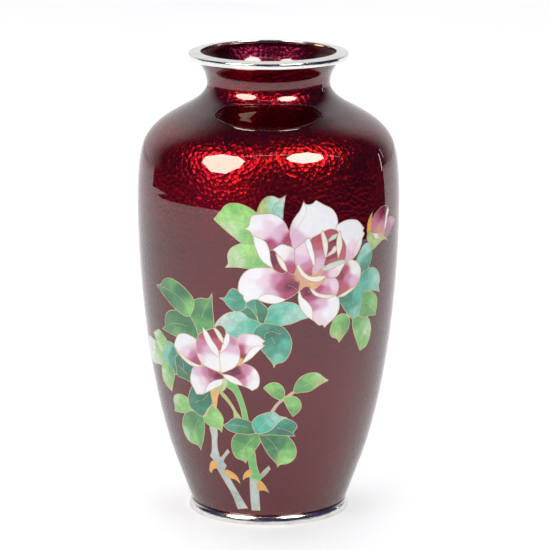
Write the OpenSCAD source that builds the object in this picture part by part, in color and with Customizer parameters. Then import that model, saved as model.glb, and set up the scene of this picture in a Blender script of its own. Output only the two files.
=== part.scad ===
// Cloisonne vase: a spun copper body with a transparent ground enamel, wired flower sprays
// filled with coloured enamels, enamel linings, and a plated ring at the rim and the foot.
// Origin: centre of the face that the foot stands on. +Z is up and the sprays face -Y.

/* [Vase] */
// Height from the table to the crest of the rim
height = 185; // [170:1:200]
// Largest diameter, at the shoulder
max_diameter = 104; // [96:1:112]

/* [Walls] */
// Thickness of the outer ground enamel, and depth of the cells
coat_thickness = 1.0; // [0.6:0.1:1.4]
// Thickness of the spun copper
copper_thickness = 0.8; // [0.5:0.1:1.2]
// Thickness of the enamel inside and under the base
lining_thickness = 0.4; // [0.2:0.1:0.6]

/* [Rings] */
// Width that the foot ring stands proud of the enamel
foot_proud = 1.4; // [0.8:0.1:2]
// Outer diameter of the rolled rim
rim_diameter = 63.2; // [60:0.2:68]

/* [Wires] */
// Thickness of the cloison wires
wire = 0.34; // [0.2:0.02:0.5]
// Steps between two points of a drawn outline
outline_steps = 3; // [2:1:5]

/* [Hidden] */
drawn_height = 185;
drawn_diameter = 104;
tall = height / drawn_height;
wide = max_diameter / drawn_diameter;
coat_bottom = 2.6;
coat_top = 184;
profile_steps = 3;
wall_draw_start = 18;
wall_draw_depth = 50;
closing = 0.35;

// ---- Smooth curves through hand-set points. A third value of 1 marks a sharp corner. ----

function direction(v) = v / max(norm(v), 1e-6);
function bend(p, q, m, n, t) =
    (2*t^3 - 3*t^2 + 1) * p + (t^3 - 2*t^2 + t) * m + (3*t^2 - 2*t^3) * q + (t^3 - t^2) * n;
function is_corner(p) = len(p) > 2 && p[2] == 1;
function flat_point(p) = [p[0], p[1]];

// One stretch from b to c, steered by the points before and after it
function stretch(a, b, c, d, steps) =
    let (p = flat_point(b), q = flat_point(c), chord = norm(q - p),
         m = chord * (is_corner(b) ? direction(q - p) : direction(q - flat_point(a))),
         n = chord * (is_corner(c) ? direction(q - p) : direction(flat_point(d) - p)))
    [for (s = [0:steps - 1]) bend(p, q, m, n, s / steps)];

function smooth_loop(points, steps) =
    let (n = len(points))
    [for (i = [0:n - 1])
        for (p = stretch(points[(i + n - 1) % n], points[i], points[(i + 1) % n],
                         points[(i + 2) % n], steps)) p];

function smooth_path(points, steps) =
    let (n = len(points))
    concat(
        [for (i = [0:n - 2])
            for (p = stretch(points[max(i - 1, 0)], points[i], points[i + 1],
                             points[min(i + 2, n - 1)], steps)) p],
        [flat_point(points[n - 1])]);

// ---- The vase's outline as [height, radius], foot to neck ----

body_knots = [
    for (k = [[coat_bottom, 30.4], [12, 34], [28, 39.7], [48, 44.7], [72, 48.6], [100, 51.2],
              [126, 52], [141, 51.2], [149, 49.4], [154, 46.3], [158, 41.8], [162, 35.2],
              [165, 29.9], [168, 26.3], [171.5, 24.4], [176, 24.9], [180, 26.9], [coat_top, 29]])
        [k[0] * tall, k[1] * wide]];
outline = smooth_path(body_knots, profile_steps);
last = len(outline) - 1;

function radius(z) = lookup(z, outline);
function slope_at(i) = direction(outline[min(i + 1, last)] - outline[max(i - 1, 0)]);

// The outline's point i, moved into the wall by a depth
function inward(i, depth) = outline[i] + depth * [slope_at(i)[1], -slope_at(i)[0]];
// The same, held between the foot ring's seat and the rim ring's, and as [radius, height]
function wall_point(i, depth) =
    let (p = inward(i, depth))
    [p[1], i == last ? coat_top * tall
        : (i == 0 ? coat_bottom * tall : min(p[0], coat_top * tall))];

// A turned layer of the wall between two depths and two heights
module turned_layer(outer_depth, inner_depth, low = 0, high = 1000) {
    chosen = [for (i = [0:last]) if (outline[i][0] >= low && outline[i][0] <= high) i];
    count = len(chosen) - 1;
    rotate_extrude($fn = 180)
        polygon(concat(
            [for (i = chosen) wall_point(i, outer_depth)],
            [for (k = [0:count]) wall_point(chosen[count - k], inner_depth)]));
}

copper_depth = coat_thickness + copper_thickness;
lining_depth = copper_depth + lining_thickness;
neck_lining_low = 158 * tall;
throat_low = 160;
throat = 174;
throat_extra = 1.5;
floor_top = 5.4 * tall;

// Extra thickness of the neck's lining at a height: full at the throat, none at its two ends
function throat_depth(z) =
    let (h = z / tall)
    throat_extra * (h > throat ? (coat_top - h) / (coat_top - throat)
        : 0.5 - 0.5 * cos(180 * max(0, h - throat_low) / (throat - throat_low)));

// ---- Drawings: outlines as [degrees round the vase from the front, height] ----

// Each spray is [direction it faces, cells from front to back, vein wires].
// A cell is [kind, outline].

rose = [16, [
    // White turned-over edges round the heart
    ["fold", [[15.7, 118.6, 1], [16.6, 119.9], [17.7, 119.7], [19.2, 115.8], [20.3, 110.8],
              [19.9, 108.4, 1], [18.7, 110.9], [16.6, 115.9]]],
    ["fold", [[22.9, 121.6], [23.8, 122.7, 1], [25.4, 119.7], [26.2, 117], [26, 114],
              [25.2, 111.2, 1], [24.6, 113], [23.5, 118.5]]],
    ["fold", [[26, 117.6, 1], [27, 119.2], [28.4, 120.4], [31.2, 120.8, 1], [30, 119],
              [28, 118.3]]],
    ["fold", [[26, 112, 1], [26.5, 113.2], [28, 114.4], [29, 115.7], [30.1, 115.9, 1],
              [30.6, 114.6], [29.7, 113.4], [28, 112.8]]],
    ["fold", [[31.1, 121], [32.1, 121.8, 1], [32.9, 118.8], [33.3, 116.2], [32.6, 113.6],
              [31.3, 110.6, 1], [30.7, 113.5], [30.3, 117]]],
    // Crescent under the heart, the pale crescent on its right and the cream one below
    ["fold", [[11.8, 110.2, 1], [13.4, 109.2], [14.9, 107.2], [17, 105.3], [20, 104.6],
              [23.2, 104.7], [25.7, 104.2, 1], [23.6, 102.9], [21.3, 102.4], [18.8, 102.8],
              [15.8, 104.2], [13.6, 106.2]]],
    ["fold", [[23, 107.1, 1], [25.6, 108.6], [29, 109.6], [33.2, 110.1], [36.4, 109.3, 1],
              [32, 108.2], [28.6, 107], [25.6, 106.6]]],
    ["fold", [[17.7, 100.8, 1], [19.6, 99.4], [21.8, 98], [25, 97], [30.6, 96.3, 1], [26.8, 95.3],
              [23.3, 96], [20, 97.5]]],
    // Edges of the outer petals
    ["fold", [[13.5, 99.7, 1], [13, 97.2], [13.3, 94.6], [14.7, 91.4], [17, 89], [19.9, 87.1, 1],
              [19.8, 90], [19, 92.5], [17, 94.8], [14.6, 96.8]]],
    ["fold", [[43, 98.8, 1], [40, 97.6], [37.2, 96.1], [34.6, 95.3], [31.4, 95.4, 1],
              [35, 96.7], [39, 98.1]]],
    ["fold", [[-4.7, 96.2, 1], [-3, 97.7], [-0.6, 98.4], [3, 97.7], [7.6, 96, 1], [4.5, 94.7],
              [1.5, 94.5], [-2, 95.1]]],
    ["fold", [[3, 114.3, 1], [5, 113], [6.9, 110.6], [8.3, 107.1, 1], [6.5, 108], [4.6, 110.4]]],
    ["fold", [[-6.6, 121.5, 1], [-5.9, 118.1], [-4.6, 114.6], [-2.4, 111.2], [2.1, 108.4, 1],
              [1, 111.5], [0.5, 115.2], [-1, 118.9], [-3.5, 120.3]]],
    // Deep cells between the folds
    ["heart", [[23.8, 121.6], [25.6, 122.6], [28, 122.8], [31.2, 121.2], [29, 120.2],
               [25.6, 119]]],
    ["heart", [[25.6, 113.2], [25.8, 117.8], [28.1, 118.8], [30.7, 119.6], [30.8, 115.4],
               [28.6, 114.8], [27, 112.9]]],
    ["heart", [[25, 108.2], [24.8, 110.4], [25.9, 112.4], [28.3, 113.4], [30.8, 114],
               [31.3, 111.2], [31.2, 109.4], [28, 108.8]]],
    ["heart", [[32.6, 118.9], [34, 117.6], [35.2, 115.4], [35.3, 112.6], [34.6, 109.7],
               [32.7, 109.4], [30.9, 109.7], [32.2, 113.6]]],
    ["heart", [[0.8, 115.7], [3, 115.2], [5, 111.4], [7.2, 108], [7.2, 106.6], [4.6, 106.8],
               [1.6, 108.9], [0.6, 112.2]]],
    // Inner petals
    ["petal", [[18, 119], [20.6, 120.7], [23.2, 121.2], [24, 117.6], [25.4, 112], [25.2, 108.4],
               [23, 107.3], [19.4, 105.4], [19.6, 109], [19, 114]]],
    ["petal", [[11.3, 115.7], [13.5, 117.4], [15.9, 118.8], [17.6, 115.4], [19.4, 110.6],
               [19.6, 107.2], [18.8, 104.8], [16.6, 105.7], [13.9, 108.2], [11.6, 110]]],
    ["petal", [[1.2, 115.4, 1], [3.2, 116.8], [5.6, 118], [8.2, 117.4], [11.6, 115.6],
               [12, 111.6], [11.3, 106.2], [8.8, 106.5], [5.5, 111], [2.8, 113.8]]],
    ["glow", [[10.9, 109], [11, 106.4], [12.6, 105], [13.9, 103.2], [13.4, 99.7], [15.6, 100.7],
              [18, 101], [19.4, 99.4], [22.8, 101.2], [25, 103.4], [20, 104], [14, 107]]],
    ["petal", [[18.9, 105], [22.6, 107], [28, 107.6], [34.8, 109.2], [33.4, 106.6],
               [30.8, 103.6], [26, 103.6], [20.4, 104]]],
    ["petal", [[20.2, 99.6], [22.3, 101.6], [25.2, 103.4], [28, 103.8], [30.2, 103],
               [31.8, 101.4], [32, 98.6], [30.4, 96], [26, 96], [22, 97.4]]],
    // Outer petals
    ["petal", [[-7.2, 108.4], [-3, 108.9], [2, 108.6], [8, 107.2], [12.2, 105.5], [14, 103.6],
               [14.1, 101], [12.7, 98.8], [9.6, 96.8], [5, 95.4], [-2, 96], [-6.6, 96.1],
               [-9.6, 94.7, 1], [-10.9, 96.4], [-10.7, 97.5, 1], [-12.9, 98.9], [-13.1, 101],
               [-12.2, 104.2], [-10, 107]]],
    ["petal", [[34.2, 108.9], [38, 109.6], [41, 108.7], [43.3, 106.7], [44.2, 103.9], [43.4, 100.7],
               [41, 98], [37, 96.2], [31, 95.7], [31.7, 99.2], [30, 103.4], [32, 106.4]]],
    ["petal", [[13.3, 100.2], [16, 101.1], [19, 99.8], [22, 97.2], [31.4, 96], [32.8, 93],
               [32.6, 89.9], [30.6, 87.1], [27.6, 85.1], [25.8, 83.7, 1], [24.8, 84.9, 1],
               [23, 84.8], [21, 86.4], [17, 89.6], [14.6, 94]]],
    ["petal", [[30, 123.4], [33, 125.1], [36.6, 125.7], [40.8, 125.1], [43, 123.7],
               [45.5, 121.2, 1], [44.7, 120.2], [45.8, 119.2, 1], [44.5, 117.2], [43.4, 113.8],
               [41, 111], [38, 109.5], [34.6, 109.4], [33, 114], [31, 119]]],
    ["petal", [[9, 122.3], [9.6, 125.6], [11.5, 128.7], [13.6, 131.2], [15.1, 134.5, 1],
               [16.2, 133.3], [18.6, 133.2], [20.7, 134.6, 1], [24.4, 132.6], [28, 130.8],
               [30.4, 127.8], [30.9, 124.5], [29, 120.6], [19, 118], [11.2, 115.8],
               [9.6, 119.6]]],
    ["petal", [[-7.1, 129], [-3, 129.9], [1.4, 130], [5.2, 128.4], [7.8, 125.2], [9.9, 119.6],
               [11.6, 115.9], [7, 116.2], [1, 114.6], [-2.4, 118.9], [-6.3, 120.8],
               [-7.9, 123], [-10, 124, 1], [-8.2, 125.3]]]],
    // Wires that mark folds inside a petal
    [[[15.1, 134], [16.3, 131.6], [15.4, 128.4], [13.2, 125.4], [11.2, 122.8]],
     [[44.1, 117.6], [41.6, 116.3], [40, 114], [39.2, 112], [38.8, 110]],
     [[8.7, 101.8], [10.6, 101], [12.8, 99.6]]]];

bud = [59, [
    ["calyx", [[47.9, 118.9], [47.4, 116.7], [49, 114.6], [51.2, 111.5, 1], [55.3, 113],
               [59.8, 114.6], [63.9, 113.7, 1], [60, 115.7], [55, 115.5], [52.4, 116.5],
               [50.2, 119.5]]],
    ["sepal", [[47.9, 118.6], [47.5, 121.6], [48.5, 124.4], [50.8, 126.7, 1], [50.2, 123.6],
               [50.2, 119.2]]],
    ["fold", [[63, 126.7], [64.8, 125.6, 1], [63.4, 123.4], [62.3, 120.4], [60, 117.2, 1],
              [60.8, 120.7]]],
    ["sepal", [[50, 119.2], [53, 115.8], [56.9, 115.2], [59.9, 115.9], [60.3, 117.9],
               [56.5, 117.5], [52.5, 118.3]]],
    ["petal", [[50, 119.4], [49.9, 122.6], [51.8, 125.2], [55, 127], [59, 127.9], [64.1, 126.7],
               [61.6, 122], [60.2, 117.4], [56, 116.4]]],
    ["petal", [[60, 116], [62, 119.6], [63.6, 122.2], [67, 122.6], [72.6, 120.2, 1], [69, 118.2],
               [66, 116.3], [62, 115]]]],
    []];

small_rose = [-27, [
    ["fold", [[-30.7, 83.3, 1], [-28.2, 81.2], [-26.2, 78.2], [-23.9, 75.4], [-23, 71.4, 1],
              [-25.8, 73.2], [-28.4, 76], [-30.4, 80]]],
    ["fold", [[-25.4, 83.7, 1], [-23.4, 83], [-21.4, 80.8], [-20.6, 77.2, 1], [-22.6, 79.2],
              [-24.2, 81.6]]],
    ["fold", [[-19, 82.1, 1], [-17.7, 81.2], [-18.1, 78.1], [-20, 75.4], [-22.7, 73.2, 1],
              [-21.4, 76.6], [-20, 80]]],
    ["fold", [[-48.7, 72.8, 1], [-45.4, 69.6], [-41.4, 67.4], [-37, 66.4], [-32.2, 67, 1],
              [-37.4, 67.9], [-42, 69.3]]],
    ["fold", [[-1.6, 77.5, 1], [-4.6, 75.2], [-8.2, 72], [-12.6, 69.5, 1], [-10, 73.2],
              [-7, 76.7]]],
    ["fold", [[-21.9, 62.9, 1], [-22.8, 60.5], [-26.6, 58.6], [-33, 55.7, 1], [-30.6, 59.3],
              [-26.6, 61.7]]],
    ["fold", [[-22.3, 64.9, 1], [-18.4, 64.6], [-14.8, 63.3], [-11.9, 60.6, 1], [-16.4, 61.3],
              [-20.2, 62.9]]],
    ["heart", [[-29, 81.6], [-26.7, 83], [-24, 83.1], [-22.8, 79.8], [-20.8, 77.6], [-22.7, 74.2],
               [-26, 77.8]]],
    ["heart", [[-24.2, 83.9], [-22.4, 84.9], [-20.4, 84.3], [-19.3, 82.4], [-19.9, 79.7],
               [-22, 80.8]]],
    ["petal", [[-34.8, 76.9], [-33.4, 79.6], [-31.2, 81.2], [-29.2, 80], [-27, 75.4],
               [-23.4, 72], [-22.9, 69], [-23.1, 66], [-28, 66.6], [-32.1, 68], [-34.6, 71]]],
    ["petal", [[-17.9, 80.9], [-15, 79.6], [-13.5, 76.4], [-13.2, 72.2], [-15, 68.9],
               [-19, 66.6], [-23.3, 65.9], [-23.2, 71], [-22, 74.6], [-18.6, 77.6]]],
    ["petal", [[-14.6, 79.4], [-12.6, 81.5], [-9, 82.1], [-5, 81.6], [-3, 80.3], [-1.6, 79.3, 1],
               [-2.7, 78.3], [-1.6, 77.4, 1], [-5, 76.4], [-9, 73.4], [-12.6, 69.3],
               [-14.6, 69.4], [-13, 73]]],
    ["petal", [[-22.5, 65.7], [-17.6, 67.1], [-13.5, 69.4], [-9.4, 69.4], [-6, 67.6],
               [-4.3, 64.4], [-4.8, 60.5], [-7.7, 58.8, 1], [-10.3, 60], [-13, 60.9],
               [-16, 62.6], [-20, 63.8]]],
    ["petal", [[-37.4, 66.4], [-32.4, 67.4], [-27.5, 66.5], [-23.6, 65.3], [-21.3, 63.3],
               [-25.6, 60.6], [-30, 58.4], [-33, 55.6], [-37.8, 54.9, 1], [-38.8, 56.9],
               [-40.5, 59.1, 1], [-40.2, 62]]],
    ["petal", [[-34.2, 77.3], [-38, 79], [-41.6, 79.4], [-45.4, 78.5], [-47.6, 76], [-49, 73],
               [-46, 70], [-41, 67.6], [-33.6, 66.6], [-34, 72]]],
    ["sepal", [[-27.6, 50.2, 1], [-28.7, 53.4], [-28.9, 56.8], [-26.4, 58.9], [-22.3, 61.2],
               [-22.6, 58.4], [-25, 56], [-26.8, 50.4, 1]]],
    ["receptacle", [[-22, 64.4], [-20.2, 63], [-20, 60.6], [-21.8, 58.2], [-23.9, 57.4],
                    [-24.4, 59], [-22.8, 61.4]]]],
    []];

left_spray = [-9, [
    ["leaf", [[-23.8, 127, 1], [-20.7, 130.4], [-18, 133.1], [-14, 133.8], [-9.5, 132.9],
              [-4.5, 129.9], [-1, 124], [-4, 119.5], [-10, 118], [-15.5, 121]]],
    ["leaf", [[-18.6, 108.4, 1], [-17.4, 110], [-17.6, 113.6], [-15.4, 116.6], [-10, 118.4],
              [-3, 117], [1, 111.6], [0, 108.2], [-8, 108.3], [-13.6, 108.7]]],
    ["leaf", [[7.4, 137, 1], [4.8, 135.9], [1.8, 136.9], [-1.4, 136.2], [-3.8, 133.4],
              [-4.8, 129.2], [-1, 126], [5.4, 127], [6.4, 131.6]]]],
    // Midribs
    [[[-22, 127.4], [-16.5, 128], [-10, 126.4], [-7.6, 125.2]],
     [[-16.4, 110], [-12.4, 112], [-8, 113.6], [-5.4, 114.4]],
     [[6.2, 135.8], [3, 133.4], [0.8, 130.4]]]];

right_spray = [45, [
    ["leaf", [[31.2, 96], [34, 92], [37.2, 88.2], [40.5, 85.4, 1], [43.9, 86.6], [45.4, 89.6],
              [45.3, 95.8], [42, 99], [36, 99]]],
    ["leaf", [[43, 101.8], [48, 104.5], [52, 104.7], [56.2, 102.6], [58.5, 98.8], [57.6, 96.4],
              [59, 93.7, 1], [54, 95], [48, 95.6], [43, 96]]],
    ["leaf", [[44.2, 113.4], [46.6, 115], [49, 114.8], [51.1, 112], [50.8, 108.2], [48.8, 104.8],
              [43, 101.6], [40, 106]]],
    ["leaf", [[44.6, 95.9], [50, 95.3], [54.9, 93.5], [57.5, 90.4], [56.9, 84.6, 1], [52, 85.1],
              [45, 86]]],
    ["leaf", [[41, 85.6], [45, 86.1], [49.6, 85.5], [53, 82.2], [54.3, 78], [52.4, 73.5],
              [47.5, 71.5, 1], [44.2, 76.2], [41.6, 81]]],
    ["leaf", [[31, 87.2], [35.4, 88.3], [38.8, 86], [38.7, 82], [36, 78.9], [33.9, 76.8, 1],
              [32.6, 78.4], [29.6, 79.6], [28.6, 82.4]]]],
    [[[41, 86.4], [41.4, 89.6], [40.6, 93], [39.6, 95]],
     [[57.4, 95.4], [53.6, 97.6], [49.6, 99.2], [47.2, 99.8]],
     [[56, 86], [52.4, 88.8], [48.8, 91]],
     [[47.7, 73], [48.3, 77], [47.2, 81], [46.2, 83.4]],
     [[34, 78.4], [34.2, 81.6], [33.8, 84.6]]]];

centre_spray = [-6, [
    ["leaf", [[-3, 86.3], [1.6, 86.2], [6, 85.2], [9, 82.4], [10.6, 78.4], [9.9, 74.4],
              [7.4, 71], [3.4, 69.8], [2.6, 68.6, 1], [1.8, 70.2], [-1, 73.4], [-5, 78],
              [-7, 82]]],
    ["leaf", [[-25, 84.2, 1], [-22.6, 87.2], [-18.6, 90], [-14, 90.9], [-11, 90.4], [-8.6, 88.4],
              [-3.2, 86.4], [-5.4, 83.6], [-10, 79], [-17, 78.6], [-22, 82]]],
    ["leaf", [[-1.4, 86.5], [-0.4, 90], [0.2, 92.9], [3.2, 94.5], [9, 95], [13.4, 93.4],
              [16.4, 90.2], [18.4, 88.3, 1], [14.6, 87.6], [9.6, 86], [4, 85.6]]],
    ["leaf", [[-21.6, 95.9, 1], [-19, 96.5], [-17.4, 98.9], [-15.2, 100.2], [-12.6, 99],
              [-10.2, 95.6], [-10, 92.6], [-14.2, 90.9], [-17.8, 92.8], [-19.8, 95]]],
    ["leaf", [[-14, 90.7], [-9.4, 92.8], [-6.6, 91.2], [-4.8, 86.9], [-8, 87.4], [-11.4, 89.4]]],
    ["leaf", [[-10.4, 94.2], [-8.4, 95.9], [-5.6, 96.6], [-2.8, 94.6], [-0.4, 92.4], [-0.5, 88],
              [-2, 85.9], [-5.4, 86.8], [-7.4, 90.4]]]],
    [[[-6, 96], [-5.4, 92.8], [-5, 90], [-4.4, 87.6]],
     [[-1.8, 80.2], [-1.4, 82.2], [1.4, 83.3], [3.4, 82.6], [5.8, 82.2]],
     [[1.3, 81.2], [1.9, 79.8], [3, 78]],
     [[-19.8, 95.8], [-16.8, 96], [-14, 95.2]],
     [[-22.6, 85.6], [-17.6, 86.6], [-11.6, 86.2]],
     [[16, 89.2], [10.6, 90.4], [4.4, 89.8]]]];

upper_left_spray = [-42, [
    ["leaf", [[-59.2, 96.4, 1], [-55.6, 97.2], [-52.4, 99.9], [-48, 100.8], [-43.6, 100],
              [-38.6, 97.5], [-34.6, 93.6], [-36.4, 88.2], [-39, 86.6], [-45, 88.3],
              [-49.4, 90.5]]],
    ["leaf", [[-57.1, 78.9, 1], [-54.8, 80.5], [-54.2, 83.4], [-52.4, 86.2], [-48.4, 87.9],
              [-42, 88.4], [-36.8, 86.4], [-33.6, 80], [-35, 76], [-42, 76.8], [-49, 77.7]]],
    ["leaf", [[-37.4, 91.4], [-34.6, 93.8], [-31, 95.1], [-27.4, 95.1], [-25.3, 97.3, 1],
              [-25.2, 90.6], [-25, 84.5], [-28, 79], [-34, 78]]]],
    [[[-57, 96.4], [-50.4, 96], [-44.4, 94.4], [-39.2, 91.6]],
     [[-55, 80], [-49.4, 82.2], [-43.4, 83], [-39.2, 82.6]],
     [[-26, 95.6], [-28.6, 91.6], [-31, 87.4]]]];

far_left_spray = [-62, [
    ["leaf", [[-68.3, 75.3, 1], [-64.4, 76.8], [-60.4, 77.9], [-57, 76.3], [-54.4, 73.8],
              [-58, 71], [-61, 68.4], [-64.6, 71.4], [-66.2, 74]]],
    ["leaf", [[-59.4, 65.4], [-62.2, 63.2], [-64, 59.6], [-63.6, 56.4], [-60.4, 54.6],
              [-56.4, 53.2, 1], [-54.8, 55.6], [-52.6, 59], [-51.4, 62.4], [-55, 64.4]]],
    ["leaf", [[-55, 74.1], [-51.6, 74.4], [-48.4, 73.1], [-47.4, 70], [-49.8, 68], [-49.6, 61.4],
              [-54, 62], [-58.6, 63.6], [-60.6, 67], [-58.6, 72]]],
    ["leaf", [[-50, 72], [-44, 71.6], [-36, 69], [-36.6, 64], [-39.9, 59.9], [-44.6, 60.4],
              [-50, 61.3], [-50.4, 66]]],
    ["leaf", [[-83, 66.6], [-80, 70.9], [-75, 72.7], [-69.4, 72.7], [-63, 71.6], [-59, 68],
              [-60, 63.8], [-66, 62.8], [-74, 61.9], [-80.4, 63]]]],
    [[[-49.8, 66.9], [-46, 64.7], [-42, 62.3]],
     [[-44.5, 69], [-44, 66.4], [-44.2, 63.8]],
     [[-57, 54.4], [-58.6, 58.4], [-58.4, 62]],
     [[-67, 75], [-62.6, 74.4], [-59.6, 72.6]],
     [[-81, 67], [-73, 67.6], [-65, 67.6]]]];

lower_left_spray = [-40, [
    ["leaf", [[-35.2, 44.4], [-32.8, 47.2], [-30.6, 50.1], [-28.6, 51.6], [-26, 49.6],
              [-23.5, 46.4], [-24.2, 43.2], [-25.2, 40.2, 1], [-27, 41.3], [-31, 41.8]]],
    ["leaf", [[-43.9, 51.6], [-42.2, 55], [-39, 58.4], [-33, 58.6], [-29, 56.6], [-28.9, 52],
              [-31.6, 49.6], [-35.8, 45.8], [-40, 47], [-43.2, 48.8]]],
    ["leaf", [[-35, 44.6], [-38, 47.2], [-44.4, 46.9], [-49.6, 43.9], [-52.4, 39.6],
              [-51.9, 35.5], [-48.4, 33], [-42.8, 32.5], [-41.1, 30.6, 1], [-39.8, 32.8],
              [-37, 36.8]]],
    ["leaf", [[-57.3, 44.8, 1], [-56.2, 46.6], [-56.2, 50], [-53.4, 52.3], [-49, 53.2],
              [-44.6, 52.6], [-41, 50], [-42, 46.6], [-49, 45.3]]]],
    [[[-39.2, 51], [-37.4, 52], [-35.8, 52.4]],
     [[-34.8, 52.6], [-32.4, 54], [-31, 55.4]],
     [[-42, 33.2], [-43.4, 37.4], [-41.4, 41.4], [-38.4, 44]],
     [[-54.8, 46.2], [-50.6, 49], [-46.6, 49.8]],
     [[-26, 42.4], [-28.4, 45.2], [-31.8, 45.6]]]];

lower_spray = [-4, [
    ["leaf", [[-8.4, 44.6], [-7, 47.1], [-3.2, 49], [2.6, 49.9], [5.4, 48.2], [9.1, 47.4, 1],
              [5.8, 45.9], [1.6, 42.4], [-3, 40.7], [-6.4, 40.8]]],
    ["leaf", [[4, 46.6], [8.4, 47.1], [12.6, 45.6], [14.9, 43.2], [12.9, 40.7], [14, 39.2, 1],
              [9, 39.6], [1, 40.2], [-4.4, 40.4], [-1, 43]]],
    ["leaf", [[-24, 43.3, 1], [-21, 44.6], [-18, 46.6], [-13.6, 46.7], [-8, 45.2], [-5.4, 42],
              [-9, 40.3], [-15.4, 40.3], [-20.6, 41.1]]],
    ["leaf", [[-4.6, 41], [-3.2, 36], [0, 31.5], [4.8, 27.2], [5.2, 26.1, 1], [6.6, 27],
              [11.2, 27.4], [14.8, 29.6], [15.3, 33.2], [12.6, 37.4], [8, 40.4], [1, 41.2]]],
    ["leaf", [[-4, 41], [-3.9, 37.6], [-7.4, 33.4], [-10.8, 29.9], [-13.1, 27.5, 1],
              [-14.3, 28.5], [-18.6, 29.7], [-20.4, 34], [-19, 38.4], [-15, 41], [-9, 41.4]]]],
    [[[-5.4, 42], [-2, 44.8], [2.4, 47]],
     [[12.4, 40.8], [8, 42.4], [4.4, 43]],
     [[-21.6, 43.4], [-16.6, 43.8], [-11, 43.2]],
     [[5.6, 27.8], [5.6, 32], [2.4, 36.4], [-1, 39]],
     [[-13.4, 29.4], [-13.6, 33], [-10.4, 36.8], [-7, 39.2]]]];

sprig = [8, [
    ["leaf", [[12.4, 57.8], [12.8, 61.2], [15.2, 64], [19, 65.4], [23.4, 65.3], [27, 63.1],
              [29.6, 61.6, 1], [25.4, 60.2], [20.4, 57.9], [16, 57.7]]],
    ["leaf", [[-2.4, 60, 1], [0, 61.7], [3, 62.3], [6.2, 61], [7.8, 58], [6.6, 55],
              [2.8, 56], [-0.6, 58.4]]],
    ["leaf", [[7.4, 55.5], [10.4, 56.3], [13.6, 55.8], [16.2, 53], [15.6, 50], [12.3, 47.7, 1],
              [10, 50.6]]],
    ["stalk", [[0.6, 49], [2.8, 52.3], [5.2, 54.5], [8.4, 56.4], [12.6, 58.6], [12.8, 57.8],
               [9, 55.4], [6, 53.7], [3.6, 51.4], [2, 48.6]]]],
    [[[28, 61.8], [22, 61.4], [16.6, 60.2]],
     [[-0.8, 59.8], [3, 58.9], [5.6, 57.2]],
     [[12.4, 49.2], [12, 52.2], [10, 54.6]]]];

stem_spray = [-18, [
    ["thorn", [[-31.2, 25.6], [-33.3, 26.9], [-35.8, 25.6], [-38, 22.2], [-37.1, 21.2, 1],
               [-34.6, 23.3], [-31.2, 24.1]]],
    ["thorn", [[-26.6, 23.3], [-22.6, 23], [-19.2, 21], [-18, 18.2, 1], [-20.8, 19.8],
               [-25.4, 20.4]]],
    ["thorn", [[-10.4, 24.5], [-13, 23.8], [-15.1, 21.8], [-15.6, 20, 1], [-13.4, 21.1],
               [-10.6, 21.8]]],
    ["thorn", [[-6.2, 19.8], [-3.4, 18.8], [0.1, 14.6, 1], [-3, 15.5], [-6.6, 15.7]]],
    ["stalk", [[-22.6, 61], [-19.6, 63], [-16.4, 61.8], [-13.9, 58.6], [-11.8, 53],
               [-10.5, 48], [-10.4, 44.6], [-12.6, 44.6], [-13.6, 50], [-15.4, 55.2],
               [-18, 58.6]]],
    ["stalk", [[-24, 56.7], [-22.6, 57.3], [-19, 53.8], [-16.2, 49.8], [-13.8, 45.8],
               [-17, 45.8], [-17.6, 49.6], [-20.4, 53.4]]],
    ["stem", [[-9.4, 33], [-11.4, 29.4], [-10.9, 24.4], [-11.6, 18], [-12, 12], [-12, 6.2, 1],
              [-6.1, 6.2, 1], [-6.2, 12], [-6.1, 17.6], [-5, 20.4, 1], [-1.4, 22.8],
              [1, 25.2, 1], [0.2, 26.5, 1], [-2.8, 24.4], [-5.2, 22.3, 1], [-6.9, 27],
              [-7.6, 33]]],
    ["stem", [[-31.6, 43], [-31.7, 37.4], [-33.2, 31.2], [-35.1, 28.8, 1], [-33.4, 27.4],
              [-31.8, 23.6], [-28.6, 18.4], [-24.6, 12.4], [-22.4, 6.2, 1], [-14.9, 7, 1],
              [-19.6, 12.8], [-23.4, 18.6], [-26.6, 23.6], [-25.2, 25.6, 1], [-26.6, 27.6],
              [-22, 31.8, 1], [-23, 32.9, 1], [-27.4, 29.2], [-28.6, 28.9, 1], [-29.2, 34],
              [-27.8, 42]]]],
    []];

// ---- Making a spray's cells and wires ----

function facing(spray) = spray[0];
function cells(spray) = spray[1];
function veins(spray) = spray[2];
// A drawn point on the plane that the spray faces
function on_plane(p, a0) =
    [radius(p[1] * tall) * sin(p[0] - a0), p[1] * tall, is_corner(p) ? 1 : 0];

module cell_shape(spray, i)
    polygon(smooth_loop([for (p = cells(spray)[i][1]) on_plane(p, facing(spray))], outline_steps));

// Cell i without what lies in front of it and without half a wire all round
module open_cell(spray, i) {
    offset(delta = -wire / 2) {
        difference() {
            cell_shape(spray, i);
            for (k = [0:1:i - 1]) cell_shape(spray, k);
        }
    }
}

// Everything that the spray takes out of the ground enamel
module spray_shape(spray) {
    offset(delta = -closing) {
        offset(delta = closing + wire / 2) {
            for (i = [0:len(cells(spray)) - 1]) cell_shape(spray, i);
        }
    }
}

module vein_shape(spray) {
    for (v = veins(spray)) {
        path = smooth_path([for (p = v) on_plane(p, facing(spray))], outline_steps);
        count = len(path) - 1;
        side = [for (i = [0:count])
            let (d = direction(path[min(i + 1, count)] - path[max(i - 1, 0)])) [-d[1], d[0]]];
        polygon(concat(
            [for (i = [0:count]) path[i] + side[i] * wire / 3],
            [for (i = [0:count]) path[count - i] - side[count - i] * wire / 3]));
    }
}

// Carries a drawing out through the wall, in the direction that the spray faces
module through_wall(spray) {
    rotate([0, 0, facing(spray)]) translate([0, -wall_draw_start, 0]) rotate([90, 0, 0])
        linear_extrude(height = wall_draw_depth) children();
}

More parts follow.
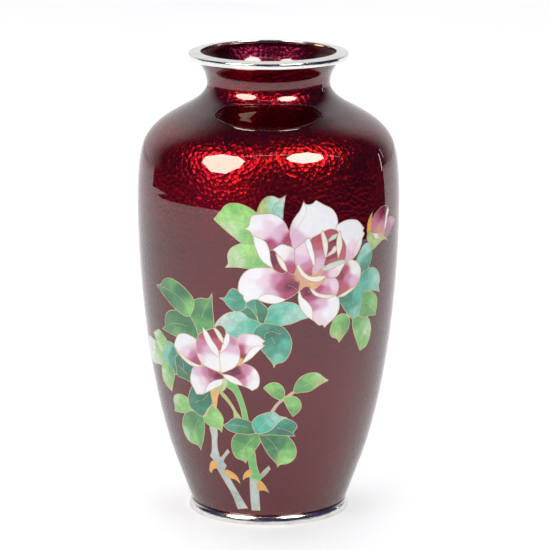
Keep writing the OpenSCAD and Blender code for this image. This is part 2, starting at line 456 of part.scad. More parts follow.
module spray_cut(spray) {
    through_wall(spray) spray_shape(spray);
}

module coat_band(spray) {
    heights = [for (c = cells(spray)) for (p = c[1]) p[1] * tall];
    turned_layer(0, coat_thickness, min(heights) - 10, max(heights) + 10);
}

// The enamel of one kind of cell, kept clear of the sprays in front
module filling(spray, kind) {
    difference() {
        intersection() {
            coat_band(spray);
            through_wall(spray) offset(delta = 0) {
                difference() {
                    for (i = [0:len(cells(spray)) - 1])
                        if (cells(spray)[i][0] == kind) open_cell(spray, i);
                    vein_shape(spray);
                }
            }
        }
        children();
    }
}

// The network of wires that stands between the cells
module wiring(spray) {
    difference() {
        intersection() {
            coat_band(spray);
            through_wall(spray) offset(delta = 0) {
                difference() {
                    spray_shape(spray);
                    for (i = [0:len(cells(spray)) - 1]) open_cell(spray, i);
                }
                intersection() {
                    spray_shape(spray);
                    vein_shape(spray);
                }
            }
        }
        children();
    }
}

// ---- The vessel ----

module copper_body() {
    color("peru") turned_layer(coat_thickness, copper_depth);
}

// Disc let into the lower end of the body
module base_disc() {
    disc_low = floor_top - lining_thickness - copper_thickness;
    color("peru") translate([0, 0, disc_low])
        cylinder(h = copper_thickness, r = radius(disc_low) - copper_depth - 0.15, $fn = 180);
}

module ground_enamel() {
    color("darkred") difference() {
        turned_layer(0, coat_thickness);
        spray_cut(rose);
        spray_cut(bud);
        spray_cut(small_rose);
        spray_cut(left_spray);
        spray_cut(right_spray);
        spray_cut(centre_spray);
        spray_cut(upper_left_spray);
        spray_cut(far_left_spray);
        spray_cut(lower_left_spray);
        spray_cut(lower_spray);
        spray_cut(sprig);
        spray_cut(stem_spray);
    }
}

// Lining of the neck, thickest at the throat so that the mouth opens like a funnel
module neck_enamel() {
    chosen = [for (i = [0:last]) if (outline[i][0] >= neck_lining_low) i];
    count = len(chosen) - 1;
    color("crimson") rotate_extrude($fn = 180)
        polygon(concat(
            [for (i = chosen) wall_point(i, copper_depth)],
            [for (k = [0:count])
                let (i = chosen[count - k])
                wall_point(i, lining_depth + throat_depth(outline[i][0]))]));
}

// Lining of the body and its floor, up to the neck's lining
module inner_enamel() {
    low = [for (i = [0:last]) if (outline[i][0] >= neck_lining_low) i][0];
    high = [for (i = [0:last]) if (outline[i][0] <= floor_top) i];
    start = high[len(high) - 1] + 1;
    floor_low = floor_top - lining_thickness;
    color("maroon") rotate_extrude($fn = 180)
        polygon(concat(
            [[0, floor_low], [radius(floor_low) - copper_depth - 0.15, floor_low]],
            [for (i = [start:low]) wall_point(i, copper_depth)],
            [for (i = [low:-1:start]) wall_point(i, lining_depth)],
            [[radius(floor_top) - lining_depth - 0.15, floor_top], [0, floor_top]]));
}

module base_enamel() {
    disc_low = floor_top - lining_thickness - copper_thickness;
    color("midnightblue") translate([0, 0, disc_low - lining_thickness])
        cylinder(h = lining_thickness, r = radius(disc_low) - copper_depth - 0.3, $fn = 180);
}

// ---- The plated rings ----

// Flat ring over the lip, sloping gently down and out, with its outer edge turned down
module rim_ring() {
    seat = coat_top * tall;
    lip_inner = radius(seat) - lining_depth;
    outer = rim_diameter / 2;
    edge = 0.5;
    edge_centre = [outer - edge, height - 0.45 - edge];
    curl = [0.8, 2.1];
    curl_centre = [outer - curl[0], edge_centre[1]];
    inner_edge = 0.3;
    inner_centre = [lip_inner + inner_edge, height - inner_edge];
    color("silver") rotate_extrude($fn = 180)
        polygon(concat(
            [[lip_inner, seat], [curl_centre[0] - 0.6, seat]],
            [for (t = [-95:15:-5]) curl_centre + [curl[0] * cos(t), curl[1] * sin(t)]],
            [for (t = [10:20:90]) edge_centre + edge * [cos(t), sin(t)]],
            [for (t = [90:30:180]) inner_centre + inner_edge * [cos(t), sin(t)]]));
}

// Half-round foot band with an inner seat that the wall stands on
module foot_ring() {
    band_outer = radius(3.6 * tall) + foot_proud;
    band_top = 3.6;
    edge = 0.4;
    crown = foot_proud - 0.2;
    wall_inner = radius(band_top) + 0.12;
    seat_inner = radius(coat_bottom * tall) - lining_depth - 0.6;
    seat = coat_bottom * tall;
    color("silver") rotate_extrude($fn = 180)
        polygon(concat(
            [[band_outer - 3.2, 0]],
            [for (t = [-90:30:-30]) [band_outer - edge, edge] + edge * [cos(t), sin(t)]],
            [for (t = [0:10:90])
                [band_outer - crown * (1 - cos(t)), edge + (band_top - edge) * sin(t)]],
            [[wall_inner, band_top], [wall_inner, seat], [seat_inner, seat],
             [seat_inner, seat - 1], [band_outer - 3.2, seat - 1]]));
}

// ---- The sprays ----

module rose_petals() {
    color("thistle") union() {
        filling(rose, "petal");
        filling(rose, "glow");
    }
}
module rose_folds() { color("white") filling(rose, "fold"); }
module rose_heart() { color("mediumvioletred") filling(rose, "heart"); }
module rose_wires() { color("gold") wiring(rose); }

module small_rose_petals() { color("thistle") filling(small_rose, "petal"); }
module small_rose_folds() { color("white") filling(small_rose, "fold"); }
module small_rose_heart() { color("mediumvioletred") filling(small_rose, "heart"); }
module small_rose_sepals() {
    color("sandybrown") union() {
        filling(small_rose, "sepal");
        filling(small_rose, "receptacle");
    }
}
module small_rose_wires() { color("gold") wiring(small_rose); }

module bud_petals() {
    color("orchid") union() {
        filling(bud, "petal");
        filling(bud, "fold");
    }
}
module bud_sepals() { color("sandybrown") filling(bud, "sepal"); }
module bud_calyx() { color("lightgreen") filling(bud, "calyx"); }
module bud_wires() { color("gold") wiring(bud); }

module left_leaves() { color("lightgreen") filling(left_spray, "leaf") spray_cut(rose); }
module left_leaf_wires() { color("gold") wiring(left_spray) spray_cut(rose); }

module in_front_of_right() {
    spray_cut(rose);
    spray_cut(bud);
}
module right_leaves() {
    color("mediumaquamarine") filling(right_spray, "leaf") in_front_of_right();
}
module right_leaf_wires() { color("gold") wiring(right_spray) in_front_of_right(); }

module in_front_of_centre() {
    spray_cut(rose);
    spray_cut(small_rose);
}
module centre_leaves() {
    color("mediumaquamarine") filling(centre_spray, "leaf") in_front_of_centre();
}
module centre_leaf_wires() { color("gold") wiring(centre_spray) in_front_of_centre(); }

module in_front_of_upper_left() {
    spray_cut(small_rose);
    spray_cut(centre_spray);
}
module upper_left_leaves() {
    color("seagreen") filling(upper_left_spray, "leaf") in_front_of_upper_left();
}
module upper_left_leaf_wires() {
    color("gold") wiring(upper_left_spray) in_front_of_upper_left();
}

module far_left_leaves() {
    color("mediumseagreen") filling(far_left_spray, "leaf") spray_cut(small_rose);
}
module far_left_leaf_wires() { color("gold") wiring(far_left_spray) spray_cut(small_rose); }

module lower_left_leaves() {
    color("mediumseagreen") filling(lower_left_spray, "leaf") spray_cut(small_rose);
}
module lower_left_leaf_wires() {
    color("gold") wiring(lower_left_spray) spray_cut(small_rose);
}

module lower_leaves() { color("seagreen") filling(lower_spray, "leaf"); }
module lower_leaf_wires() { color("gold") wiring(lower_spray); }

module sprig_leaves() { color("lightgreen") filling(sprig, "leaf") spray_cut(lower_spray); }
module sprig_stalk() { color("palegreen") filling(sprig, "stalk") spray_cut(lower_spray); }
module sprig_wires() { color("gold") wiring(sprig) spray_cut(lower_spray); }

module in_front_of_stems() {
    spray_cut(small_rose);
    spray_cut(lower_left_spray);
    spray_cut(lower_spray);
}
module stems() { color("lightblue") filling(stem_spray, "stem") in_front_of_stems(); }
module stalks() { color("lightgreen") filling(stem_spray, "stalk") in_front_of_stems(); }
module thorns() { color("sandybrown") filling(stem_spray, "thorn") in_front_of_stems(); }
module stem_wires() { color("gold") wiring(stem_spray) in_front_of_stems(); }

copper_body();
base_disc();
ground_enamel();
neck_enamel();
inner_enamel();
base_enamel();
rim_ring();
foot_ring();
rose_petals();
rose_folds();
rose_heart();
rose_wires();
small_rose_petals();
small_rose_folds();
small_rose_heart();
small_rose_sepals();
small_rose_wires();
bud_petals();
bud_sepals();
bud_calyx();
bud_wires();
left_leaves();
left_leaf_wires();
right_leaves();
right_leaf_wires();
centre_leaves();
centre_leaf_wires();
upper_left_leaves();
upper_left_leaf_wires();
far_left_leaves();
far_left_leaf_wires();
lower_left_leaves();
lower_left_leaf_wires();
lower_leaves();
lower_leaf_wires();
sprig_leaves();
sprig_stalk();
sprig_wires();
stems();
stalks();
thorns();
stem_wires();
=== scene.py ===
"""Finished pieces of the cloisonne vase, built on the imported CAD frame.

Each turned shell, enamel cell and wire network of the CAD model is rebuilt here from its own CAD mesh.
The outlines stay the same, the facets give way to the smooth profile that they stand for, and the
cells are painted. Distances are in metres. An angle a runs round the axis from the front (-Y),
positive towards +X, and a place on the wall is given as an angle and a height (a, z).
"""
import math

import bpy
import numpy as np
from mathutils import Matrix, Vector
from mathutils.geometry import delaunay_2d_cdt


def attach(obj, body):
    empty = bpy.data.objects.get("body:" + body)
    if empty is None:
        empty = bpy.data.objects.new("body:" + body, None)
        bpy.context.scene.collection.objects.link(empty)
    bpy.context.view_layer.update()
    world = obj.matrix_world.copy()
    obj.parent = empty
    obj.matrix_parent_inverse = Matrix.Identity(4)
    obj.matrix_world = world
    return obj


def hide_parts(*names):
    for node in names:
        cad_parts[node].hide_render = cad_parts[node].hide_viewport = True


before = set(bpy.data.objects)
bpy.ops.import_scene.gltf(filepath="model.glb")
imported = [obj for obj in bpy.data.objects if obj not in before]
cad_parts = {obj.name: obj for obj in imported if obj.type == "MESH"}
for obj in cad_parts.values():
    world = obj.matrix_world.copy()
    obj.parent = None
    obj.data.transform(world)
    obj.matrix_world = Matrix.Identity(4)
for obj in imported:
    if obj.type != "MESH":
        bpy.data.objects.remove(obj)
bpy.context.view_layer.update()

MM = 0.001
MERGE = 1e-6                # corners closer than this are one corner
PLANE_RADIUS = 45 * MM      # radius at which the wall is unrolled to a plane
CORNER = math.radians(42)   # an outline that turns more than this has a real corner there
COAT = 1.0 * MM             # thickness of the enamel coat
WIRE_PROUD = 0.035 * MM     # how far the polished wires stand above the enamel
ENAMEL_LAP = 0.05 * MM      # how far fired enamel creeps over the edge of a wire

DIMPLE = 1.6 * MM           # size of the hammer marks in the foil under the ruby enamel
# The ruby foil's colour is painted darker around NECK_HOLLOW: painted shade in the hollow under the neck.
NECK_HOLLOW = 164.5 * MM    # height of the hollow between the shoulder and the neck

CELL_GRID = 0.8 * MM        # spacing of the points inside a cell, along its edge and along a wire's
CELL_EDGE = 0.6 * MM
WIRE_EDGE = 0.5 * MM
COAT_GRID = 1.25 * MM       # spacing of the points of the ruby coat
TURNED_STEPS = 288          # facets round a turned piece

SPREAD = 0.9 * MM           # how softly neighbouring colours run together
BRUSH = 1.6 * MM            # size of the wavers along the edge of a colour
SHINE = 0.028               # light that the clear surface adds, taken off the painted colour
ALBEDO = 0.95               # brightness of the whitest enamel
GLASS_IOR = 1.55

SHOULDER = Vector((0, 0, 0.14))     # where the lights aim
LIGHT_DISTANCE = 1.6
FLOOR_SIZE = 8.0
DARK_FLOOR_REACH = 5.8
DARK_STUDIO = (0.035, 0.028, 0.075)
WHITE_AZIMUTH = -174        # middle of the white background


# ---------------------------------------------------------------- curves

def unit(vectors):
    return vectors / np.maximum(np.linalg.norm(vectors, axis=-1, keepdims=True), 1e-15)


def smooth_curve(points, step, closed):
    """Points along the curve through the given ones, about a step apart, with real corners kept."""
    count = len(points)
    ahead = np.roll(points, -1, axis=0) - points
    length = np.linalg.norm(ahead, axis=1)
    along = unit(ahead)
    before, before_length = np.roll(along, 1, axis=0), np.roll(length, 1)
    turn = np.arccos(np.clip((before * along).sum(1), -1, 1))
    tangent = unit(before * length[:, None] + along * before_length[:, None])
    tangent = np.where((length > 3 * before_length)[:, None], along, tangent)
    tangent = np.where((before_length > 3 * length)[:, None], before, tangent)
    corner = turn > CORNER
    if not closed:
        corner[[0, -1]] = True
    result = []
    for i in range(count if closed else count - 1):
        j = (i + 1) % count
        parts = max(1, round(length[i] / step))
        start = along[i] if corner[i] else tangent[i]
        end = along[i] if corner[j] else tangent[j]
        t = (np.arange(parts) / parts)[:, None]
        rest = 1 - t
        result.append(points[i] * rest * rest * (1 + 2 * t) + points[j] * t * t * (3 - 2 * t)
                      + length[i] * (start * t * rest * rest - end * t * t * rest))
    if not closed:
        result.append(points[-1:])
    return np.concatenate(result)


def spline_slopes(x, y):
    """Slopes at x of the natural cubic spline through the points (x, y)."""
    h = np.diff(x)
    rise = 3 * np.diff(y) / h ** 2
    matrix = np.zeros((len(x), len(x)))
    right = np.zeros(len(x))
    for i in range(1, len(x) - 1):
        matrix[i, i - 1:i + 2] = 1 / h[i - 1], 2 / h[i - 1] + 2 / h[i], 1 / h[i]
        right[i] = rise[i - 1] + rise[i]
    matrix[0, :2] = 2 / h[0], 1 / h[0]
    matrix[-1, -2:] = 1 / h[-1], 2 / h[-1]
    right[0], right[-1] = rise[0], rise[-1]
    return np.linalg.solve(matrix, right)


# ---------------------------------------------------------------- reading the CAD meshes

def cad_mesh(node):
    """Corner points and triangles of a CAD node, with corners in the same place merged."""
    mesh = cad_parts[node].data
    points = np.empty(len(mesh.vertices) * 3, dtype=np.float32)
    mesh.vertices.foreach_get("co", points)
    points = points.reshape(-1, 3).astype(float)
    mesh.calc_loop_triangles()
    corners = np.empty(len(mesh.loop_triangles) * 3, dtype=np.int32)
    mesh.loop_triangles.foreach_get("vertices", corners)
    _, first, place = np.unique(np.round(points / MERGE), axis=0, return_index=True, return_inverse=True)
    triangles = place.reshape(-1)[corners].reshape(-1, 3)
    whole = (triangles != np.roll(triangles, 1, axis=1)).all(1)
    return points[first], triangles[whole]


def section(node, back_only=False):
    """The outline (r, z) that was turned to make a node, and whether it closes on itself.

    An outline that doesn't close starts and ends on the axis.
    """
    points, triangles = cad_mesh(node)
    if back_only:
        triangles = triangles[(points[triangles][:, :, 1] > 10 * MM).all(1)]
    outline = np.column_stack([np.hypot(points[:, 0], points[:, 1]), points[:, 2]])
    _, first, place = np.unique(np.round(outline / (10 * MERGE) + 0.137), axis=0,
                                return_index=True, return_inverse=True)
    ring = place.reshape(-1)[triangles]
    neighbours = {}
    for a, b in np.concatenate([ring[:, [0, 1]], ring[:, [1, 2]], ring[:, [2, 0]]]):
        if a != b:
            neighbours.setdefault(a, set()).add(b)
            neighbours.setdefault(b, set()).add(a)
    ends = [i for i, near in neighbours.items() if len(near) == 1]
    here = ends[0] if ends else next(iter(neighbours))
    chain, last = [here], None
    while True:
        onward = [i for i in neighbours[here] if i != last and i != chain[0]]
        if not onward:
            break
        here, last = onward[0], here
        chain.append(here)
    result = outline[first][chain]
    if ends:
        result = np.concatenate([[[0, result[0, 1]]], result, [[0, result[-1, 1]]]])
    return result, not ends


def wall_profile():
    """Heights and radii of the outer side of the enamel coat, from the foot up."""
    outline, _ = section("ground_enamel", back_only=True)
    along = unit(np.roll(outline, -1, axis=0) - outline)
    turn = np.arccos(np.clip((np.roll(along, 1, axis=0) * along).sum(1), -1, 1))
    corners = np.flatnonzero(turn > CORNER)
    outline = np.roll(outline, -corners[0], axis=0)
    corners = np.append(corners - corners[0], len(outline))
    closed = np.concatenate([outline, outline[:1]])
    sides = [closed[a:b + 1] for a, b in zip(corners[:-1], corners[1:])]
    outer = max(sides, key=lambda side: side[:, 0].mean())
    outer = outer[np.argsort(outer[:, 1])]
    return outer[:, 1], outer[:, 0]


WALL_Z, WALL_R = wall_profile()
WALL_SLOPES = spline_slopes(WALL_Z, WALL_R)


def wall(z):
    """Radius and slope dr/dz of the smooth wall at height z."""
    z = np.clip(z, WALL_Z[0], WALL_Z[-1])
    i = np.clip(np.searchsorted(WALL_Z, z) - 1, 0, len(WALL_Z) - 2)
    h = WALL_Z[i + 1] - WALL_Z[i]
    t = (z - WALL_Z[i]) / h
    rest = 1 - t
    r0, r1, m0, m1 = WALL_R[i], WALL_R[i + 1], WALL_SLOPES[i] * h, WALL_SLOPES[i + 1] * h
    radius = r0 * rest ** 2 * (1 + 2 * t) + r1 * t ** 2 * (3 - 2 * t) + t * rest * (m0 * rest - m1 * t)
    slope = (6 * t * rest * (r1 - r0) + m0 * rest * (1 - 3 * t) + m1 * t * (3 * t - 2)) / h
    return radius, slope


def wall_normal(a, slope):
    return unit(np.stack([np.sin(a), -np.cos(a), -slope], axis=-1))


def outer_outlines(node):
    """Outlines of the node's outer faces: for each separate face patch, a list of loops (a, z)."""
    points, triangles = cad_mesh(node)
    radius = np.hypot(points[:, 0], points[:, 1])
    a = np.arctan2(points[:, 0], -points[:, 1])
    z = points[:, 2]
    on_wall = radius > np.interp(z, WALL_Z, WALL_R) - 0.05 * MM
    corners = points[triangles]
    normal = unit(np.cross(corners[:, 1] - corners[:, 0], corners[:, 2] - corners[:, 0]))
    middle = corners.mean(1)
    outward = wall_normal(np.arctan2(middle[:, 0], -middle[:, 1]), wall(middle[:, 2])[1])
    patch = triangles[on_wall[triangles].all(1) & ((normal * outward).sum(1) > 0.9)]

    group = {}

    def root(i):
        while group.setdefault(i, i) != i:
            group[i] = group[group[i]]
            i = group[i]
        return i

    directed = set()
    for i, j, k in patch.tolist():
        group[root(i)] = root(j)
        group[root(j)] = root(k)
        directed.update([(i, j), (j, k), (k, i)])
    following = {}
    for i, j in sorted(directed):
        if (j, i) not in directed:
            following.setdefault(i, []).append(j)
    patches = {}
    while following:
        start = next(iter(following))
        loop, here = [], start
        while here in following:
            loop.append(here)
            onward = following[here]
            there = onward.pop()
            if not onward:
                del following[here]
            here = there
        patches.setdefault(root(start), []).append(np.column_stack([a[loop], z[loop]]))
    return list(patches.values())


# ---------------------------------------------------------------- building meshes

def new_object(name, points, faces, normals=None, paint=None):
    """A mesh object. There is a normal for each corner of a face, and a colour for each point."""
    mesh = bpy.data.meshes.new(name)
    mesh.from_pydata(points.tolist(), [], faces)
    if paint is not None:
        colours = mesh.attributes.new("paint", "FLOAT_COLOR", "POINT")
        colours.data.foreach_set("color", np.column_stack([paint, np.ones(len(paint))]).ravel())
    mesh.shade_smooth()
    if normals is None:
        mesh.set_sharp_from_angle(angle=CORNER)
    else:
        mesh.normals_split_custom_set(normals.tolist())
    obj = bpy.data.objects.new(name, mesh)
    bpy.context.scene.collection.objects.link(obj)
    return obj


def turned_piece(name, node, step):
    """The node's own section, smoothed and turned again with fine facets."""
    outline, closed = section(node)
    outline = smooth_curve(outline, step, closed)
    onward = np.roll(outline, -1, axis=0)
    area = (outline[:, 0] * onward[:, 1] - onward[:, 0] * outline[:, 1]).sum()
    points, rings = [], []
    turn = np.arange(TURNED_STEPS) * 2 * math.pi / TURNED_STEPS
    circle = np.column_stack([np.cos(turn), np.sin(turn), np.zeros(TURNED_STEPS)])
    for r, z in outline:
        start = len(points)
        if r < MERGE:
            points.append([0, 0, z])
            rings.append([start] * TURNED_STEPS)
        else:
            points.extend((circle * r + [0, 0, z]).tolist())
            rings.append(list(range(start, start + TURNED_STEPS)))
    faces = []
    for lower, upper in zip(rings, rings[1:] + rings[:1] if closed else rings[1:]):
        for i in range(TURNED_STEPS):
            j = (i + 1) % TURNED_STEPS
            face = list(dict.fromkeys([lower[i], lower[j], upper[j], upper[i]]))
            if len(face) > 2:
                faces.append(face[::-1] if area > 0 else face)
    return new_object(name, np.array(points), faces)


def inside(points, loops):
    """Even-odd test of plane points against closed loops."""
    result = np.zeros(len(points), dtype=bool)
    x, y = points[:, 0], points[:, 1]
    for loop in loops:
        for (x0, y0), (x1, y1) in zip(loop, np.roll(loop, -1, axis=0)):
            if y0 != y1:
                crosses = ((y0 > y) != (y1 > y)) & (x < (x1 - x0) * (y - y0) / (y1 - y0) + x0)
                result ^= crosses
    return result


def grid_inside(loops, pitch):
    """Points of a triangular grid that lie within the loops and clear of their lines."""
    border = np.concatenate(loops)
    low, high = border.min(0), border.max(0)
    row = pitch * math.sqrt(3) / 2
    places = [(x + (k % 2) * pitch / 2, y)
              for k, y in enumerate(np.arange(low[1] + row / 2, high[1], row))
              for x in np.arange(low[0], high[0], pitch)]
    places = np.array(places).reshape(-1, 2)
    places = places[inside(places, loops)]
    clear = np.full(len(places), True)
    for i in range(0, len(places), 2000):
        part = places[i:i + 2000]
        gap = np.hypot(part[:, None, 0] - border[None, :, 0], part[:, None, 1] - border[None, :, 1]).min(1)
        clear[i:i + 2000] = gap > pitch * 0.55
    return places[clear]


def triangulate(loops, extra):
    """Triangles between plane loops, holes left open, with extra points taken in."""
    points, edges = [], []
    for loop in loops:
        start = len(points)
        points.extend(Vector(p) for p in loop)
        edges.extend((start + i, start + (i + 1) % len(loop)) for i in range(len(loop)))
    points.extend(Vector(p) for p in extra)
    found = delaunay_2d_cdt(points, edges, [], 0, 1e-8)
    plane, triangles = np.array([p[:] for p in found[0]]), np.array([f[:] for f in found[2]])
    return plane, triangles[inside(plane[triangles].mean(1), loops)]


def slab(plane, triangles, proud, depth):
    """A closed slab of the wall over plane triangles: points, faces, corner normals and places (a, z)."""
    a, z = plane[:, 0] / PLANE_RADIUS, plane[:, 1]
    radius, slope = wall(z)
    normal = wall_normal(a, slope)
    top = np.stack([radius * np.sin(a), -radius * np.cos(a), z], axis=1) + normal * proud
    inner = radius - depth * np.sqrt(1 + slope ** 2)
    under = np.stack([inner * np.sin(a), -inner * np.cos(a), z], axis=1)
    _, first, place = np.unique(np.round(top / 1e-7), axis=0, return_index=True, return_inverse=True)
    place = place.reshape(-1)
    top, under, normal = top[first], under[first], normal[first]
    triangles = place[triangles]
    triangles = triangles[(triangles != np.roll(triangles, 1, axis=1)).all(1)]
    count = len(top)
    directed = {(i, j) for t in triangles.tolist() for i, j in zip(t, t[1:] + t[:1])}
    border = [(i, j) for i, j in sorted(directed) if (j, i) not in directed]
    walls = [[j, i, i + count, j + count] for i, j in border]
    faces = triangles.tolist() + (triangles[:, ::-1] + count).tolist() + walls
    points = np.concatenate([top, under])
    side = unit(np.array([np.cross(top[j] - top[i], normal[i]) for i, j in border]).reshape(-1, 3))
    normals = np.concatenate([normal[triangles].reshape(-1, 3), -normal[triangles[:, ::-1]].reshape(-1, 3),
                              np.repeat(side, 4, axis=0)])
    places = np.column_stack([a[first], z[first]])
    return points, faces, normals, np.concatenate([places, places])


def joined_slabs(slabs):
    """Several slabs as one set of points, faces, normals and places."""
    faces, start = [], 0
    for points, own, _, _ in slabs:
        faces.extend([[i + start for i in face] for face in own])
        start += len(points)
    return (np.concatenate([s[0] for s in slabs]), faces,
            np.concatenate([s[2] for s in slabs]), np.concatenate([s[3] for s in slabs]))


def unrolled(loops, step, growth):
    """Loops (a, z) as smooth closed curves on the unrolled plane.

    Each curve is moved by growth away from the face that it bounds, which lies on its left.
    """
    result = []
    for loop in loops:
        curve = smooth_curve(loop * [PLANE_RADIUS, 1], step, True)
        ahead = unit(np.roll(curve, -1, axis=0) - curve)
        side = unit(ahead + np.roll(ahead, 1, axis=0))
        mitre = np.clip((side * ahead).sum(1), 0.5, 1)
        result.append(curve + growth / mitre[:, None] * np.column_stack([side[:, 1], -side[:, 0]]))
    return result


# ---------------------------------------------------------------- colours

PALETTE = {
    "white": (251, 251, 251), "cream": (248, 243, 230), "blush": (244, 222, 231), "lilac": (231, 194, 215),
    "pink": (210, 142, 172), "magenta": (180, 88, 120), "plum": (122, 58, 78), "wine": (148, 70, 84),
    "rose": (196, 104, 118), "salmon": (228, 172, 146), "gold": (236, 194, 122), "orange": (250, 188, 100),
    "dusty": (176, 118, 138), "brown": (128, 78, 82), "stalk_pale": (216, 196, 176),
    "pale_green": (196, 224, 176), "bright_green": (176, 230, 142), "light_green": (148, 208, 126),
    "green": (116, 176, 110), "deep_green": (96, 150, 108), "dark_green": (84, 134, 100),
    "olive": (190, 208, 138), "mint": (212, 226, 216),
    "pale_teal": (174, 222, 206), "light_teal": (138, 208, 186), "bright_teal": (102, 194, 168),
    "teal": (96, 168, 144), "deep_teal": (86, 148, 126), "dark_teal": (78, 132, 112),
    "pale_stem": (206, 218, 214), "stem": (186, 200, 196), "green_stem": (132, 202, 124),
}

